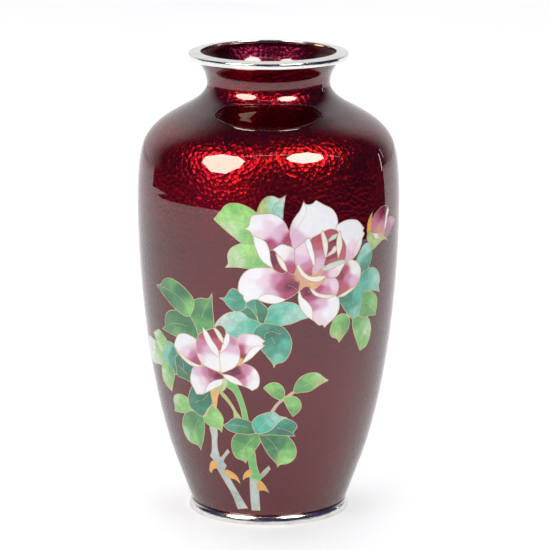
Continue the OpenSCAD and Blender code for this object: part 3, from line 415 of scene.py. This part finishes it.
# Where each colour is laid: (angle in degrees, height in millimetres, colour). A cell takes the colours
# that lie in it and blends them, so one with a single colour is plain.
DABS = {
    "rose_petals": [
        (-9, 101, "white"), (-5, 98, "white"), (-5, 106, "white"), (-1, 103, "blush"), (0, 108, "blush"),
        (1, 99, "lilac"), (3, 104, "pink"), (6, 102, "magenta"), (5, 107, "pink"), (9, 106, "magenta"),
        (9, 101, "plum"), (12, 103, "plum"), (9, 98, "magenta"), (4, 97, "pink"),
        (-5, 126, "white"), (3, 128, "white"), (-3, 121, "blush"), (1, 125, "blush"), (3, 121, "lilac"),
        (6, 124, "lilac"), (8, 120, "magenta"), (6, 118, "magenta"), (1, 118, "magenta"),
        (-2, 118, "blush"),
        (5, 116, "white"), (7, 114, "cream"), (10, 113, "lilac"), (10, 109, "magenta"), (7, 110, "blush"),
        (17, 131, "white"), (22, 131, "white"), (26, 126, "white"), (16, 125, "white"), (11, 121, "lilac"),
        (15, 134, "white"),
        (15, 115, "blush"), (14, 111, "lilac"), (16, 109, "pink"), (17, 106, "rose"), (15, 107, "magenta"),
        (13, 104, "salmon"), (17, 102, "salmon"), (20, 101, "gold"), (22, 106, "salmon"),
        (17, 98, "plum"), (16, 96, "magenta"), (20, 97, "magenta"), (20, 93, "pink"), (23, 94, "lilac"),
        (22, 89, "blush"), (27, 89, "white"), (30, 93, "white"), (24, 86, "blush"), (25, 96, "lilac"),
        (21, 119, "rose"), (21, 116, "rose"), (21, 113, "pink"), (22, 110, "lilac"), (23, 107, "cream"),
        (22, 105, "gold"), (25, 105, "pink"), (29, 106, "blush"), (33, 107, "cream"),
        (21, 101, "salmon"), (23, 100, "magenta"), (26, 99, "pink"), (29, 100, "blush"), (25, 102, "lilac"),
        (33, 101, "magenta"), (33, 104, "wine"), (35, 106, "magenta"), (37, 103, "pink"),
        (39, 101, "lilac"),
        (41, 105, "white"), (39, 108, "cream"), (35, 99, "rose"),
        (38, 122, "white"), (42, 118, "white"), (35, 118, "white"), (36, 112, "lilac"), (38, 115, "blush"),
    ],
    "rose_folds": [
        (-2, 116, "white"), (1, 96, "white"), (6, 110, "cream"), (18, 105, "cream"), (16, 93, "white"),
        (18, 115, "white"), (23, 97, "cream"), (25, 117, "cream"), (29, 108, "mint"), (28, 114, "blush"),
        (29, 119, "mint"), (32, 117, "cream"), (37, 96, "cream"), (34, 97, "salmon"),
    ],
    "rose_heart": [
        (28, 121, "rose"), (28, 112, "wine"), (29, 110, "rose"), (28, 116, "wine"), (27, 118, "plum"),
        (34, 112, "rose"), (34, 116, "rose"), (3, 112, "plum"), (5, 109, "wine"),
    ],
    "small_rose_petals": [
        (-45, 75, "white"), (-40, 77, "white"), (-46, 71, "white"), (-41, 72, "blush"), (-38, 71, "pink"),
        (-36, 69, "magenta"), (-48, 72, "white"),
        (-35, 58, "white"), (-38, 61, "white"), (-33, 61, "blush"), (-35, 65, "lilac"), (-31, 64, "pink"),
        (-27, 65, "magenta"), (-25, 64, "plum"), (-28, 62, "pink"), (-25, 62, "rose"),
        (-29, 70, "white"), (-25, 69, "white"), (-33, 71, "blush"), (-29, 75, "lilac"), (-32, 77, "pink"),
        (-31, 80, "rose"), (-26, 74, "white"), (-33, 74, "pink"),
        (-16, 79, "pink"), (-14, 76, "lilac"), (-18, 76, "lilac"), (-18, 71, "white"), (-15, 71, "white"),
        (-21, 70, "white"), (-20, 78, "blush"),
        (-18, 67, "magenta"), (-15, 66, "plum"), (-13, 64, "magenta"), (-11, 67, "pink"), (-9, 64, "blush"),
        (-6, 62, "white"), (-6, 66, "white"), (-8, 60, "white"), (-12, 62, "pink"),
        (-9, 79, "white"), (-4, 78, "white"), (-12, 79, "lilac"), (-12, 76, "magenta"), (-12, 73, "wine"),
        (-13, 71, "gold"), (-9, 75, "blush"), (-11, 71, "orange"),
    ],
    "small_rose_folds": [
        (-41, 69, "cream"), (-27, 77, "white"), (-27, 60, "white"), (-23, 81, "cream"), (-20, 78, "white"),
        (-17, 63, "white"), (-8, 74, "white"),
    ],
    "small_rose_heart": [(-25, 81, "wine"), (-24, 78, "rose"), (-22, 83, "brown")],
    "small_rose_sepals": [
        (-27, 53, "orange"), (-24, 58, "olive"), (-26, 56, "gold"), (-21, 61, "pale_green"),
    ],
    "bud_petals": [
        (61, 126, "plum"), (58, 124, "wine"), (55, 123, "rose"), (53, 122, "pink"), (56, 120, "salmon"),
        (58, 121, "pink"), (62, 122, "cream"), (66, 118, "dusty"), (69, 121, "pink"),
    ],
    "bud_sepals": [(49, 123, "orange"), (54, 117, "cream"), (57, 117, "salmon"), (59, 118, "orange")],
    "bud_calyx": [(50, 117, "olive"), (53, 115, "olive"), (57, 118, "gold"), (52, 113, "light_green")],
    "left_leaves": [
        (-13, 110, "pale_green"), (-15, 114, "pale_green"), (-7, 111, "light_green"),
        (-9, 115, "bright_green"),
        (-4, 110, "light_green"),
        (-18, 129, "bright_green"), (-16, 124, "pale_green"), (-10, 131, "bright_green"),
        (-8, 122, "light_green"), (-12, 126, "bright_green"), (-15, 131, "light_green"),
        (-2, 134, "olive"), (-2, 131, "olive"), (2, 133, "pale_teal"), (4, 131, "pale_teal"),
        (4, 135, "mint"),
    ],
    "right_leaves": [
        (31, 82, "light_green"), (37, 84, "green"), (34, 86, "light_green"), (32, 80, "olive"),
        (43, 88, "light_teal"), (38, 95, "deep_teal"), (43, 95, "bright_teal"), (39, 91, "teal"),
        (46, 81, "light_green"), (51, 80, "pale_green"), (44, 84, "green"), (48, 76, "light_green"),
        (47, 105, "deep_teal"), (44, 110, "light_teal"), (49, 109, "teal"), (47, 113, "pale_teal"),
        (48, 103, "teal"), (53, 96, "light_teal"), (56, 100, "pale_teal"), (52, 103, "light_teal"),
        (47, 98, "bright_teal"),
        (50, 88, "green"), (54, 90, "light_green"), (49, 94, "green"), (47, 90, "green"),
    ],
    "centre_leaves": [
        (-20, 88, "mint"), (-17, 85, "pale_teal"), (-14, 89, "pale_teal"), (-11, 85, "light_teal"),
        (-6, 85, "bright_teal"), (-14, 82, "light_teal"),
        (-18, 95, "bright_teal"), (-15, 93, "teal"), (-13, 97, "teal"),
        (-8, 91, "deep_teal"), (-7, 94, "teal"), (-3, 89, "dark_green"), (-3, 93, "deep_teal"),
        (4, 72, "light_teal"), (1, 75, "teal"), (7, 75, "teal"), (-1, 79, "deep_teal"),
        (3, 80, "deep_teal"),
        (8, 78, "bright_teal"), (1, 83, "dark_teal"), (7, 82, "deep_teal"), (-1, 85, "teal"),
        (3, 89, "bright_teal"), (9, 88, "pale_teal"), (5, 91, "light_teal"), (8, 92, "light_teal"),
        (13, 91, "pale_teal"),
    ],
    "upper_left_leaves": [
        (-43, 89, "green"), (-37, 89, "light_green"), (-51, 92, "dark_green"), (-45, 92, "deep_green"),
        (-43, 97, "dark_green"), (-53, 99, "deep_green"), (-47, 99, "green"),
        (-52, 80, "deep_green"), (-46, 79, "green"), (-37, 79, "deep_green"), (-49, 84, "deep_green"),
        (-40, 83, "dark_green"), (-47, 87, "dark_green"),
        (-34, 85, "green"), (-29, 84, "green"), (-32, 90, "deep_green"), (-26, 90, "dark_green"),
        (-29, 93, "green"), (-34, 93, "deep_green"),
    ],
    "far_left_leaves": [
        (-76, 66, "mint"), (-71, 69, "mint"), (-68, 65, "pale_green"), (-64, 69, "light_green"),
        (-63, 71, "pale_green"), (-65, 74, "pale_green"), (-60, 74, "light_green"),
        (-59, 55, "olive"), (-61, 59, "pale_green"), (-56, 59, "light_green"), (-58, 63, "light_green"),
        (-53, 62, "green"),
        (-50, 63, "deep_teal"), (-58, 67, "light_teal"), (-53, 67, "teal"), (-55, 71, "light_teal"),
        (-50, 69, "deep_teal"),
        (-47, 67, "dark_teal"), (-44, 62, "dark_green"), (-41, 65, "dark_teal"),
    ],
    "lower_left_leaves": [
        (-52, 47, "light_green"), (-54, 50, "pale_green"), (-48, 50, "light_green"),
        (-45, 49, "light_green"),
        (-50, 36, "pale_green"), (-45, 35, "light_green"), (-39, 36, "green"), (-47, 41, "green"),
        (-42, 43, "deep_green"), (-38, 41, "green"),
        (-38, 48, "deep_teal"), (-41, 51, "deep_teal"), (-35, 52, "dark_teal"), (-34, 48, "deep_teal"),
        (-30, 43, "light_green"), (-27, 46, "bright_green"), (-30, 50, "light_green"),
    ],
    "lower_leaves": [
        (-19, 43, "teal"), (-13, 42, "deep_green"), (-15, 46, "deep_teal"), (-9, 41, "dark_green"),
        (-15, 31, "light_green"), (-17, 34, "green"), (-11, 32, "light_green"), (-14, 38, "deep_green"),
        (-8, 37, "green"),
        (-3, 42, "bright_teal"), (-5, 46, "bright_teal"), (1, 47, "light_teal"), (4, 48, "pale_teal"),
        (10, 29, "bright_green"), (3, 33, "deep_green"), (9, 32, "light_green"), (13, 32, "light_green"),
        (2, 37, "dark_green"), (7, 36, "deep_green"), (12, 35, "green"),
        (1, 41, "deep_teal"), (7, 41, "dark_teal"), (11, 43, "deep_teal"), (7, 45, "teal"),
    ],
    "sprig_leaves": [
        (17, 60, "green"), (20, 63, "light_green"), (26, 63, "pale_green"), (26, 61, "olive"),
        (14, 54, "light_green"), (11, 54, "light_green"), (12, 50, "green"),
        (1, 61, "light_green"), (5, 61, "light_green"), (5, 57, "green"),
    ],
    "sprig_stalk": [(11, 57, "stalk_pale"), (5, 53, "stalk_pale"), (1, 50, "pale_green")],
    "stalks": [(-19, 52, "olive"), (-12, 52, "green_stem"), (-16, 60, "green_stem")],
    "stems": [
        (-17, 7, "pale_stem"), (-24, 16, "pale_stem"), (-21, 12, "stem"), (-29, 27, "stem"),
        (-28, 37, "stem"), (-31, 30, "pale_stem"), (-22, 27, "stem"),
        (-9, 12, "pale_stem"), (-8, 18, "pale_stem"), (-7, 22, "green_stem"), (-9, 28, "green_stem"),
        (-2, 24, "stem"),
    ],
    "thorns": [(-35, 25, "orange"), (-36, 22, "gold"), (-22, 21, "orange"), (-19, 19, "salmon"),
               (-13, 22, "orange"), (-4, 18, "orange"), (-2, 15, "salmon")],
}


def painted(places, dabs):
    """Linear colour at each place (a, z) of one cell, blended from the dabs (a, z, rgb) that lie in it."""
    total = np.zeros((len(places), 3))
    weights = np.zeros(len(places))
    across, up = (places * [PLANE_RADIUS, 1] / BRUSH).T
    across = across + 0.25 * np.sin(1.3 * up + 2 * np.sin(0.9 * across))
    up = up + 0.25 * np.sin(1.1 * across + 2 * np.sin(1.4 * up))
    across, up = across * BRUSH, up * BRUSH
    for a, z, rgb in dabs:
        gap = (across - a * PLANE_RADIUS) ** 2 + (up - z) ** 2
        weight = 1 / (gap + SPREAD ** 2) ** 2.2
        total += weight[:, None] * np.array(rgb)
        weights += weight
    seen = total / weights[:, None] / 255
    linear = np.where(seen <= 0.04045, seen / 12.92, ((seen + 0.055) / 1.055) ** 2.4)
    return np.clip((linear - SHINE) * ALBEDO, 0.002, 1)


# ---------------------------------------------------------------- enamel and wire pieces

def cell_piece(name, node):
    """The enamel cells of a node, painted, as one object of separate closed slabs."""
    dabs = [(math.radians(a), z * MM, PALETTE[colour]) for a, z, colour in DABS[node]]
    spots = np.array([(a * PLANE_RADIUS, z) for a, z, _ in dabs])
    slabs, paint = [], []
    for loops in outer_outlines(node):
        plane = unrolled(loops, CELL_EDGE, ENAMEL_LAP)
        own = [dab for dab, within in zip(dabs, inside(spots, plane)) if within]
        if not own:
            middle = np.concatenate(loops).mean(0) * [PLANE_RADIUS, 1]
            own = [dabs[np.abs(spots - middle).sum(1).argmin()]]
        slabs.append(slab(*triangulate(plane, grid_inside(plane, CELL_GRID)), 0, COAT))
        paint.append(painted(slabs[-1][3], own))
    points, faces, normals, _ = joined_slabs(slabs)
    return new_object(name, points, faces, normals, np.concatenate(paint))


def wire_piece(name, node):
    """The wires of a node, standing a little proud of the enamel."""
    slabs = [slab(*triangulate(unrolled(loops, WIRE_EDGE, -ENAMEL_LAP), []), WIRE_PROUD, COAT)
             for loops in outer_outlines(node)]
    return new_object(name, *joined_slabs(slabs)[:3])


def ground_piece(name, node):
    """The ruby coat all round the body, with openings where the decoration is let in."""
    # The loops that run all the way round are the coat's two ends, and the others are openings.
    openings = [loop for loops in outer_outlines(node) for loop in loops if np.ptp(loop[:, 0]) < math.pi]
    low, high = WALL_Z[0], WALL_Z[-1]
    half_turn = math.pi * PLANE_RADIUS
    rows = np.linspace(low, high, round((high - low) / COAT_GRID) + 1)
    columns = np.linspace(-half_turn, half_turn, round(2 * half_turn / COAT_GRID) + 1)
    border = np.concatenate([
        np.column_stack([columns[:-1], np.full(len(columns) - 1, low)]),
        np.column_stack([np.full(len(rows) - 1, half_turn), rows[:-1]]),
        np.column_stack([columns[:0:-1], np.full(len(columns) - 1, high)]),
        np.column_stack([np.full(len(rows) - 1, -half_turn), rows[:0:-1]])])
    plane = [border] + unrolled(openings, WIRE_EDGE, ENAMEL_LAP)
    return new_object(name, *slab(*triangulate(plane, grid_inside(plane, COAT_GRID)), 0, COAT)[:3])


# ---------------------------------------------------------------- node trees

class Nodes:
    """A node tree being put together, with short calls for the nodes it needs."""

    def __init__(self, tree):
        self.tree = tree

    def feed(self, socket, value):
        if isinstance(value, bpy.types.NodeSocket):
            self.tree.links.new(value, socket)
        else:
            socket.default_value = value

    def node(self, kind, inputs=None, **settings):
        made = self.tree.nodes.new(kind)
        for key, value in settings.items():
            setattr(made, key, value)
        for key, value in (inputs or {}).items():
            self.feed(made.inputs[key], value)
        return made

    def ramp(self, factor, low, high, to_low, to_high, **settings):
        limits = {"From Min": low, "From Max": high, "To Min": to_low, "To Max": to_high}
        return self.node("ShaderNodeMapRange", {"Value": factor, **limits}, **settings).outputs["Result"]

    def maths(self, operation, *values):
        return self.node("ShaderNodeMath", dict(enumerate(values)), operation=operation).outputs[0]

    def mix(self, factor, a, b, blend="MIX"):
        sockets = {0: factor, 6: a, 7: b}       # a Mix node's sockets for colours
        return self.node("ShaderNodeMix", sockets, data_type="RGBA", blend_type=blend).outputs[2]


class Shader(Nodes):
    """A surface material, laid out by the vase's own coordinates."""

    def __init__(self, name):
        self.material = bpy.data.materials.new(name)
        self.material.use_nodes = True
        super().__init__(self.material.node_tree)
        self.surface = self.tree.nodes["Principled BSDF"]
        self.place = self.node("ShaderNodeTexCoord").outputs["Object"]

    def set(self, **values):
        for key, value in values.items():
            self.feed(self.surface.inputs[key.replace("_", " ")], value)

    def noise(self, scale, detail, place=None):
        return self.node("ShaderNodeTexNoise", {"Vector": place or self.place, "Scale": scale,
                                                "Detail": detail}).outputs["Fac"]

    def dimples(self, size):
        return self.node("ShaderNodeTexVoronoi", {"Vector": self.place, "Scale": 1 / size}).outputs

    def bump(self, height, strength, distance):
        return self.node("ShaderNodeBump", {"Height": height, "Strength": strength,
                                            "Distance": distance}).outputs["Normal"]


# ---------------------------------------------------------------- materials

def painted_enamel(name, mottle):
    """Opaque glass enamel: the painted colour, clouded and speckled, under a clear polished face."""
    shader = Shader(name)
    paint = shader.node("ShaderNodeAttribute", attribute_name="paint").outputs["Color"]
    cloud = shader.ramp(shader.noise(430, 7), 0.32, 0.66, 1 - mottle, 1 + mottle * 0.6)
    grain = shader.ramp(shader.noise(1500, 3), 0.35, 0.65, 1 - mottle * 0.6, 1 + mottle * 0.35)
    shaded = shader.mix(1.0, paint, shader.maths("MULTIPLY", cloud, grain), "MULTIPLY")
    specks = shader.ramp(shader.noise(1900, 1), 0.71, 0.78, 0, 0.35)
    colour = shader.mix(specks, shaded, (0.84, 0.82, 0.82, 1))
    polish = shader.ramp(shader.noise(700, 2), 0.3, 0.7, 0.05, 0.11)
    face = shader.bump(shader.noise(240, 2), 0.10, 0.05 * MM)
    shader.set(Base_Color=colour, Roughness=polish, IOR=GLASS_IOR, Normal=face)
    return shader.material


def ruby_enamel(name, tint, painted_glow_tint, hammer, polish, dull_lip=False):
    """Transparent ruby enamel: hammered foil seen through red glass, under a clear polished face.

    The foil's colour carries painted light: it is painted brightest on the shoulder, where the softboxes
    are reflected, and painted darker down the body, in the hollow under the neck and up the neck. With
    dull_lip the clear coat's weight falls towards the lip, which dims its reflections there.
    """
    shader = Shader(name)
    dimples = shader.dimples(DIMPLE)
    hollow = shader.maths("MULTIPLY", dimples["Distance"], dimples["Distance"])
    height = shader.maths("MULTIPLY_ADD", shader.noise(1500, 2), 0.3, hollow)
    z = shader.node("ShaderNodeSeparateXYZ", {"Vector": shader.place}).outputs["Z"]
    from_hollow = shader.maths("ABSOLUTE", shader.maths("SUBTRACT", z, NECK_HOLLOW))
    # Mix factor towards the brighter tint: random tone of the hammer marks and of broad patches, times
    # painted shade by height (down the body, in the hollow under the neck, up the neck), which leaves a
    # painted glow on the shoulder.
    foil_tone_and_painted_light = shader.ramp(dimples["Color"], 0.3, 0.7, 0.55, 1)
    for tone_and_painted_shade in (shader.ramp(shader.noise(22, 2), 0.36, 0.64, 0.35, 1),
                 shader.ramp(z, 115 * MM, 151 * MM, 0.12, 1),
                 shader.ramp(from_hollow, 2 * MM, 8 * MM, 0.1, 1),
                 shader.ramp(z, 168 * MM, 177 * MM, 1, 0.25)):
        foil_tone_and_painted_light = shader.maths("MULTIPLY", foil_tone_and_painted_light, tone_and_painted_shade)
    shader.set(Base_Color=shader.mix(foil_tone_and_painted_light, tint, painted_glow_tint), Metallic=1.0, Roughness=0.29, IOR=GLASS_IOR)
    shader.set(Specular_Tint=(0.3, 0.03, 0.05, 1), Normal=shader.bump(height, hammer, 0.28 * MM))
    shader.set(Coat_Weight=1.0, Coat_Roughness=polish, Coat_IOR=1.66)
    if dull_lip:
        shader.set(Coat_Weight=shader.ramp(z, 179 * MM, 182 * MM, 1, 0.2))
    return shader.material


def plated_metal(name, colour, roughness):
    """Bright plating over thin metal, with soft dents, tarnish and fine scratches round the ring."""
    shader = Shader(name)
    tarnished = (colour[0] * 0.62, colour[1] * 0.6, colour[2] * 0.56, 1)
    flat = shader.node("ShaderNodeMapping", {"Vector": shader.place, "Scale": (1, 1, 14)}).outputs["Vector"]
    scratches = shader.noise(260, 3, flat)
    tarnish = shader.ramp(shader.noise(160, 4), 0.42, 0.72, 0, 0.35)
    height = shader.maths("MULTIPLY_ADD", shader.noise(90, 2), scratches, 0.25)
    shader.set(Base_Color=shader.mix(tarnish, colour, tarnished), Metallic=1.0,
               Roughness=shader.ramp(scratches, 0.3, 0.7, roughness * 0.6, roughness * 1.5),
               Normal=shader.bump(height, 0.12, 0.4 * MM))
    return shader.material


def wire_metal(name):
    """Gilt wire, ground flush and slightly dulled."""
    shader = Shader(name)
    worn = shader.ramp(shader.noise(420, 3), 0.35, 0.65, 0, 1)
    tone = shader.mix(worn, (0.70, 0.54, 0.33, 1), (0.54, 0.42, 0.27, 1))
    shader.set(Base_Color=tone, Metallic=1.0, Roughness=shader.ramp(worn, 0, 1, 0.3, 0.45))
    return shader.material


def dark_enamel(name):
    """The plain counter enamel inside and under the vase."""
    shader = Shader(name)
    cloud = shader.ramp(shader.noise(120, 4), 0.3, 0.7, 0, 1)
    tone = shader.mix(cloud, (0.012, 0.010, 0.016, 1), (0.035, 0.028, 0.042, 1))
    shader.set(Base_Color=tone, Roughness=shader.ramp(cloud, 0, 1, 0.12, 0.3), IOR=GLASS_IOR,
               Normal=shader.bump(shader.noise(300, 3), 0.3, 0.2 * MM))
    return shader.material


def bare_copper(name):
    """Spun copper with hammer marks."""
    shader = Shader(name)
    clean = shader.ramp(shader.noise(90, 4), 0.3, 0.7, 0, 1)
    tone = shader.mix(clean, (0.78, 0.36, 0.22, 1), (0.5, 0.21, 0.13, 1))
    marks = shader.dimples(1.7 * MM)["Distance"]
    shader.set(Base_Color=tone, Metallic=1.0, Roughness=0.35, Normal=shader.bump(marks, 0.4, 0.4 * MM))
    return shader.material


# ---------------------------------------------------------------- the pieces

def finish_piece(piece, node, material):
    piece.data.materials.append(material)
    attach(piece, "root")
    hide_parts(node)


petal_enamel = painted_enamel("petal_enamel", 0.03)
leaf_enamel = painted_enamel("leaf_enamel", 0.16)
stem_enamel = painted_enamel("stem_enamel", 0.12)
wire_gilt = wire_metal("wire_gilt")
# The second colour of each ruby is its painted glow: the foil painted brighter on the shoulder, where the
# softboxes are reflected.
ruby = ruby_enamel("enamel_ruby", (0.085, 0.0008, 0.008, 1), (0.33, 0.005, 0.004, 1), 1.0, 0.015)
ruby_lining = ruby_enamel("enamel_ruby_lining", (0.09, 0.004, 0.02, 1), (0.15, 0.009, 0.02, 1), 0.8, 0.07,
                          dull_lip=True)
plating = plated_metal("plated_ring", (0.82, 0.81, 0.78, 1), 0.12)
counter = dark_enamel("enamel_counter")
copper = bare_copper("copper")

# For each turned node: its material, its slot and the step along its outline
TURNED = {
    "copper_body": (copper, "copper", 1.2 * MM),
    "base_disc": (copper, "copper", 1.2 * MM),
    "neck_enamel": (ruby_lining, "enamel_ruby_lining", 1.2 * MM),
    "inner_enamel": (counter, "enamel_counter", 1.2 * MM),
    "base_enamel": (counter, "enamel_counter", 1.2 * MM),
    "rim_ring": (plating, "plated_ring", 0.25 * MM),
    "foot_ring": (plating, "plated_ring", 0.3 * MM),
}

CELLS = {
    "rose_petals": (petal_enamel, "enamel_pink"),
    "rose_folds": (petal_enamel, "enamel_white"),
    "rose_heart": (petal_enamel, "enamel_plum"),
    "small_rose_petals": (petal_enamel, "enamel_pink"),
    "small_rose_folds": (petal_enamel, "enamel_white"),
    "small_rose_heart": (petal_enamel, "enamel_plum"),
    "small_rose_sepals": (stem_enamel, "enamel_orange"),
    "bud_petals": (petal_enamel, "enamel_pink"),
    "bud_sepals": (stem_enamel, "enamel_orange"),
    "bud_calyx": (leaf_enamel, "enamel_leaf_light"),
    "left_leaves": (leaf_enamel, "enamel_leaf_light"),
    "right_leaves": (leaf_enamel, "enamel_leaf_teal"),
    "centre_leaves": (leaf_enamel, "enamel_leaf_teal"),
    "upper_left_leaves": (leaf_enamel, "enamel_leaf_deep"),
    "far_left_leaves": (leaf_enamel, "enamel_leaf_deep"),
    "lower_left_leaves": (leaf_enamel, "enamel_leaf_deep"),
    "lower_leaves": (leaf_enamel, "enamel_leaf_deep"),
    "sprig_leaves": (leaf_enamel, "enamel_leaf_light"),
    "sprig_stalk": (stem_enamel, "enamel_leaf_light"),
    "stalks": (stem_enamel, "enamel_leaf_light"),
    "stems": (stem_enamel, "enamel_grey_blue"),
    "thorns": (stem_enamel, "enamel_orange"),
}

for node, (material, slot, step) in TURNED.items():
    finish_piece(turned_piece(node + "_shell", node, step), node, material)

for node, (material, slot) in CELLS.items():
    finish_piece(cell_piece(node + "_cells", node), node, material)

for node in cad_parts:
    if node.endswith("_wires"):
        finish_piece(wire_piece(node + "_network", node), node, wire_gilt)

finish_piece(ground_piece("ground_enamel_coat", "ground_enamel"), "ground_enamel", ruby)


# ---------------------------------------------------------------- studio

def direction(azimuth, elevation):
    """Unit vector: azimuth from the front, positive to the right, and elevation, in degrees."""
    a, e = math.radians(azimuth), math.radians(elevation)
    return Vector((math.sin(a) * math.cos(e), -math.cos(a) * math.cos(e), math.sin(e)))


def flat_material(name, colour, glow, strength):
    """A dull surface that also gives off light of its own."""
    shader = Shader(name)
    shader.set(Base_Color=(*colour, 1), Roughness=1.0, IOR=1.0)
    shader.set(Emission_Color=(*glow, 1), Emission_Strength=strength)
    return shader.material


def stage_sheet(name, points, faces, material, place=(0, 0, 0), turn=(0, 0, 0), only_reflected=False):
    """A sheet that isn't part of the vase."""
    mesh = bpy.data.meshes.new(name)
    mesh.from_pydata(points, [], faces)
    mesh.materials.append(material)
    obj = bpy.data.objects.new(name, mesh)
    obj.location = place
    obj.rotation_euler = turn
    if only_reflected:
        obj.visible_camera = False
        obj.visible_diffuse = False
        obj.visible_shadow = False
    bpy.context.scene.collection.objects.link(obj)


def pale_floor():
    """The white sweep that the vase stands on."""
    shader = Shader("pale_floor")
    soft = shader.ramp(shader.noise(6, 2), 0.2, 0.8, 0.61, 0.65)
    shader.set(Base_Color=shader.mix(1.0, (1, 1, 1, 1), soft, "MULTIPLY"), Roughness=0.9, IOR=1.0)
    shader.set(Emission_Color=(1, 1, 1, 1), Emission_Strength=0.4)
    reach = FLOOR_SIZE / 2
    points = [(-reach, -reach, 0), (reach, -reach, 0), (reach, reach, 0), (-reach, reach, 0)]
    stage_sheet("floor", points, [(0, 1, 2, 3)], shader.material)


def dark_floor():
    """The dark studio floor round the white sweep, seen only in reflections.

    Its inner edge runs round the vase at a set distance for each azimuth.
    """
    azimuths = np.arange(-120, 121, 4)
    inner = np.interp(azimuths, [-120, -60, -30, -12, 0, 50, 90, 120],
                      [1.0, 0.97, 0.85, 0.62, 0.55, 0.53, 0.5, 0.6])
    points = [direction(azimuth, 0) * distance for azimuth, distance in zip(azimuths, inner)]
    points += [direction(azimuth, 0) * DARK_FLOOR_REACH for azimuth in azimuths]
    count = len(azimuths)
    faces = [(k, k + count, k + count + 1, k + 1) for k in range(count - 1)]
    material = flat_material("dark_studio_floor", (0.002, 0.002, 0.002), DARK_STUDIO, 1.0)
    stage_sheet("dark_floor", points, faces, material, place=(0, 0, 2 * MM), only_reflected=True)


def octagon_softbox(name, azimuth, elevation, width, height, radiance):
    """An eight-sided softbox seen only in reflections, aimed at the shoulder of the vase.

    Its width and height are angles in degrees, as seen from the vase.
    """
    across, up = (LIGHT_DISTANCE * math.tan(math.radians(size / 2)) for size in (width, height))
    corners = [math.radians(45 * k + 22.5) for k in range(8)]
    points = [(across * math.cos(corner), up * math.sin(corner), 0) for corner in corners]
    aim = direction(azimuth, elevation)
    stage_sheet(name, points, [tuple(range(8))], flat_material(name, (0, 0, 0), radiance, 1.0),
                place=SHOULDER + aim * LIGHT_DISTANCE, turn=aim.to_track_quat("Z", "Y").to_euler(),
                only_reflected=True)


def softbox(name, azimuth, elevation, width, height, radiance, distance=LIGHT_DISTANCE,
            glossy=True, diffuse=True, slide=0.0):
    """An area light aimed at the shoulder of the vase, and moved sideways by slide.

    Its width and height are angles in degrees, as seen from the vase.
    """
    light = bpy.data.lights.new(name, "AREA")
    light.shape = "RECTANGLE"
    light.size = 2 * distance * math.tan(math.radians(width / 2))
    light.size_y = 2 * distance * math.tan(math.radians(height / 2))
    light.energy = 4 * light.size * light.size_y * radiance
    obj = bpy.data.objects.new(name, light)
    aim = direction(azimuth, elevation)
    turn = aim.to_track_quat("Z", "Y")
    obj.location = SHOULDER + aim * distance + turn @ Vector((slide, 0, 0))
    obj.rotation_euler = turn.to_euler()
    obj.visible_camera = False
    obj.visible_glossy = glossy
    obj.visible_diffuse = diffuse
    bpy.context.scene.collection.objects.link(obj)


def studio_world():
    """White low down behind the vase, dark towards the front and above; plain white to the camera."""
    world = bpy.data.worlds.new("studio")
    bpy.context.scene.world = world
    world.use_nodes = True
    nodes = Nodes(world.node_tree)
    place = nodes.node("ShaderNodeTexCoord").outputs["Generated"]
    level = nodes.node("ShaderNodeVectorMath", {0: place, 1: (1, 1, 0)}, operation="MULTIPLY").outputs[0]
    heading = nodes.node("ShaderNodeVectorMath", {0: level}, operation="NORMALIZE").outputs[0]
    facing = nodes.node("ShaderNodeVectorMath", {0: heading, 1: direction(WHITE_AZIMUTH, 0)},
                        operation="DOT_PRODUCT").outputs["Value"]
    behind = nodes.ramp(facing, 0.42, 0.86, 0.0, 0.85, interpolation_type="SMOOTHSTEP")
    height = nodes.node("ShaderNodeSeparateXYZ", {0: place}).outputs["Z"]
    low = nodes.ramp(height, 0.60, 0.90, 1.0, 0.0, interpolation_type="SMOOTHSTEP")
    camera = nodes.node("ShaderNodeLightPath").outputs["Is Camera Ray"]
    white = nodes.maths("MAXIMUM", nodes.maths("MULTIPLY", behind, low), camera)
    tone = nodes.mix(white, (*DARK_STUDIO, 1), (1, 1, 1, 1))
    nodes.feed(world.node_tree.nodes["Background"].inputs["Color"], tone)


def photo_camera():
    camera = bpy.data.cameras.new("camera")
    camera.lens = 234.9
    camera.sensor_width = 36
    obj = bpy.data.objects.new("camera", camera)
    obj.location = (0.00255, -1.3973, 0.4038)
    obj.rotation_euler = (math.radians(77.52), 0, 0)
    bpy.context.scene.collection.objects.link(obj)
    bpy.context.scene.camera = obj


pale_floor()
dark_floor()
octagon_softbox("left_softbox", -45, 30, 38, 40, (12.5, 12.6, 10.2))
octagon_softbox("right_softbox", 40, 42, 31, 29, (13.0, 14.2, 12.0))
softbox("left_fill", -40, 35, 40, 40, 2.1, glossy=False)
softbox("right_fill", 40, 35, 40, 40, 1.65, glossy=False)
softbox("top_fill", 0, 80, 60, 60, 0.65, glossy=False)
softbox("back_fill", 180, 62, 70, 50, 1.6, distance=2.4, glossy=False)
softbox("strip", 8.6, 55.9, 83.8, 0.5, 7, distance=1.5, diffuse=False, slide=0.668)
softbox("near_window", 118, 3, 1.0, 13, 4, diffuse=False)
softbox("far_window", 124, 8, 0.6, 10, 3, diffuse=False)
studio_world()
photo_camera()
bpy.context.scene.view_settings.view_transform = "Standard"
bpy.context.scene.cycles.use_denoising = True
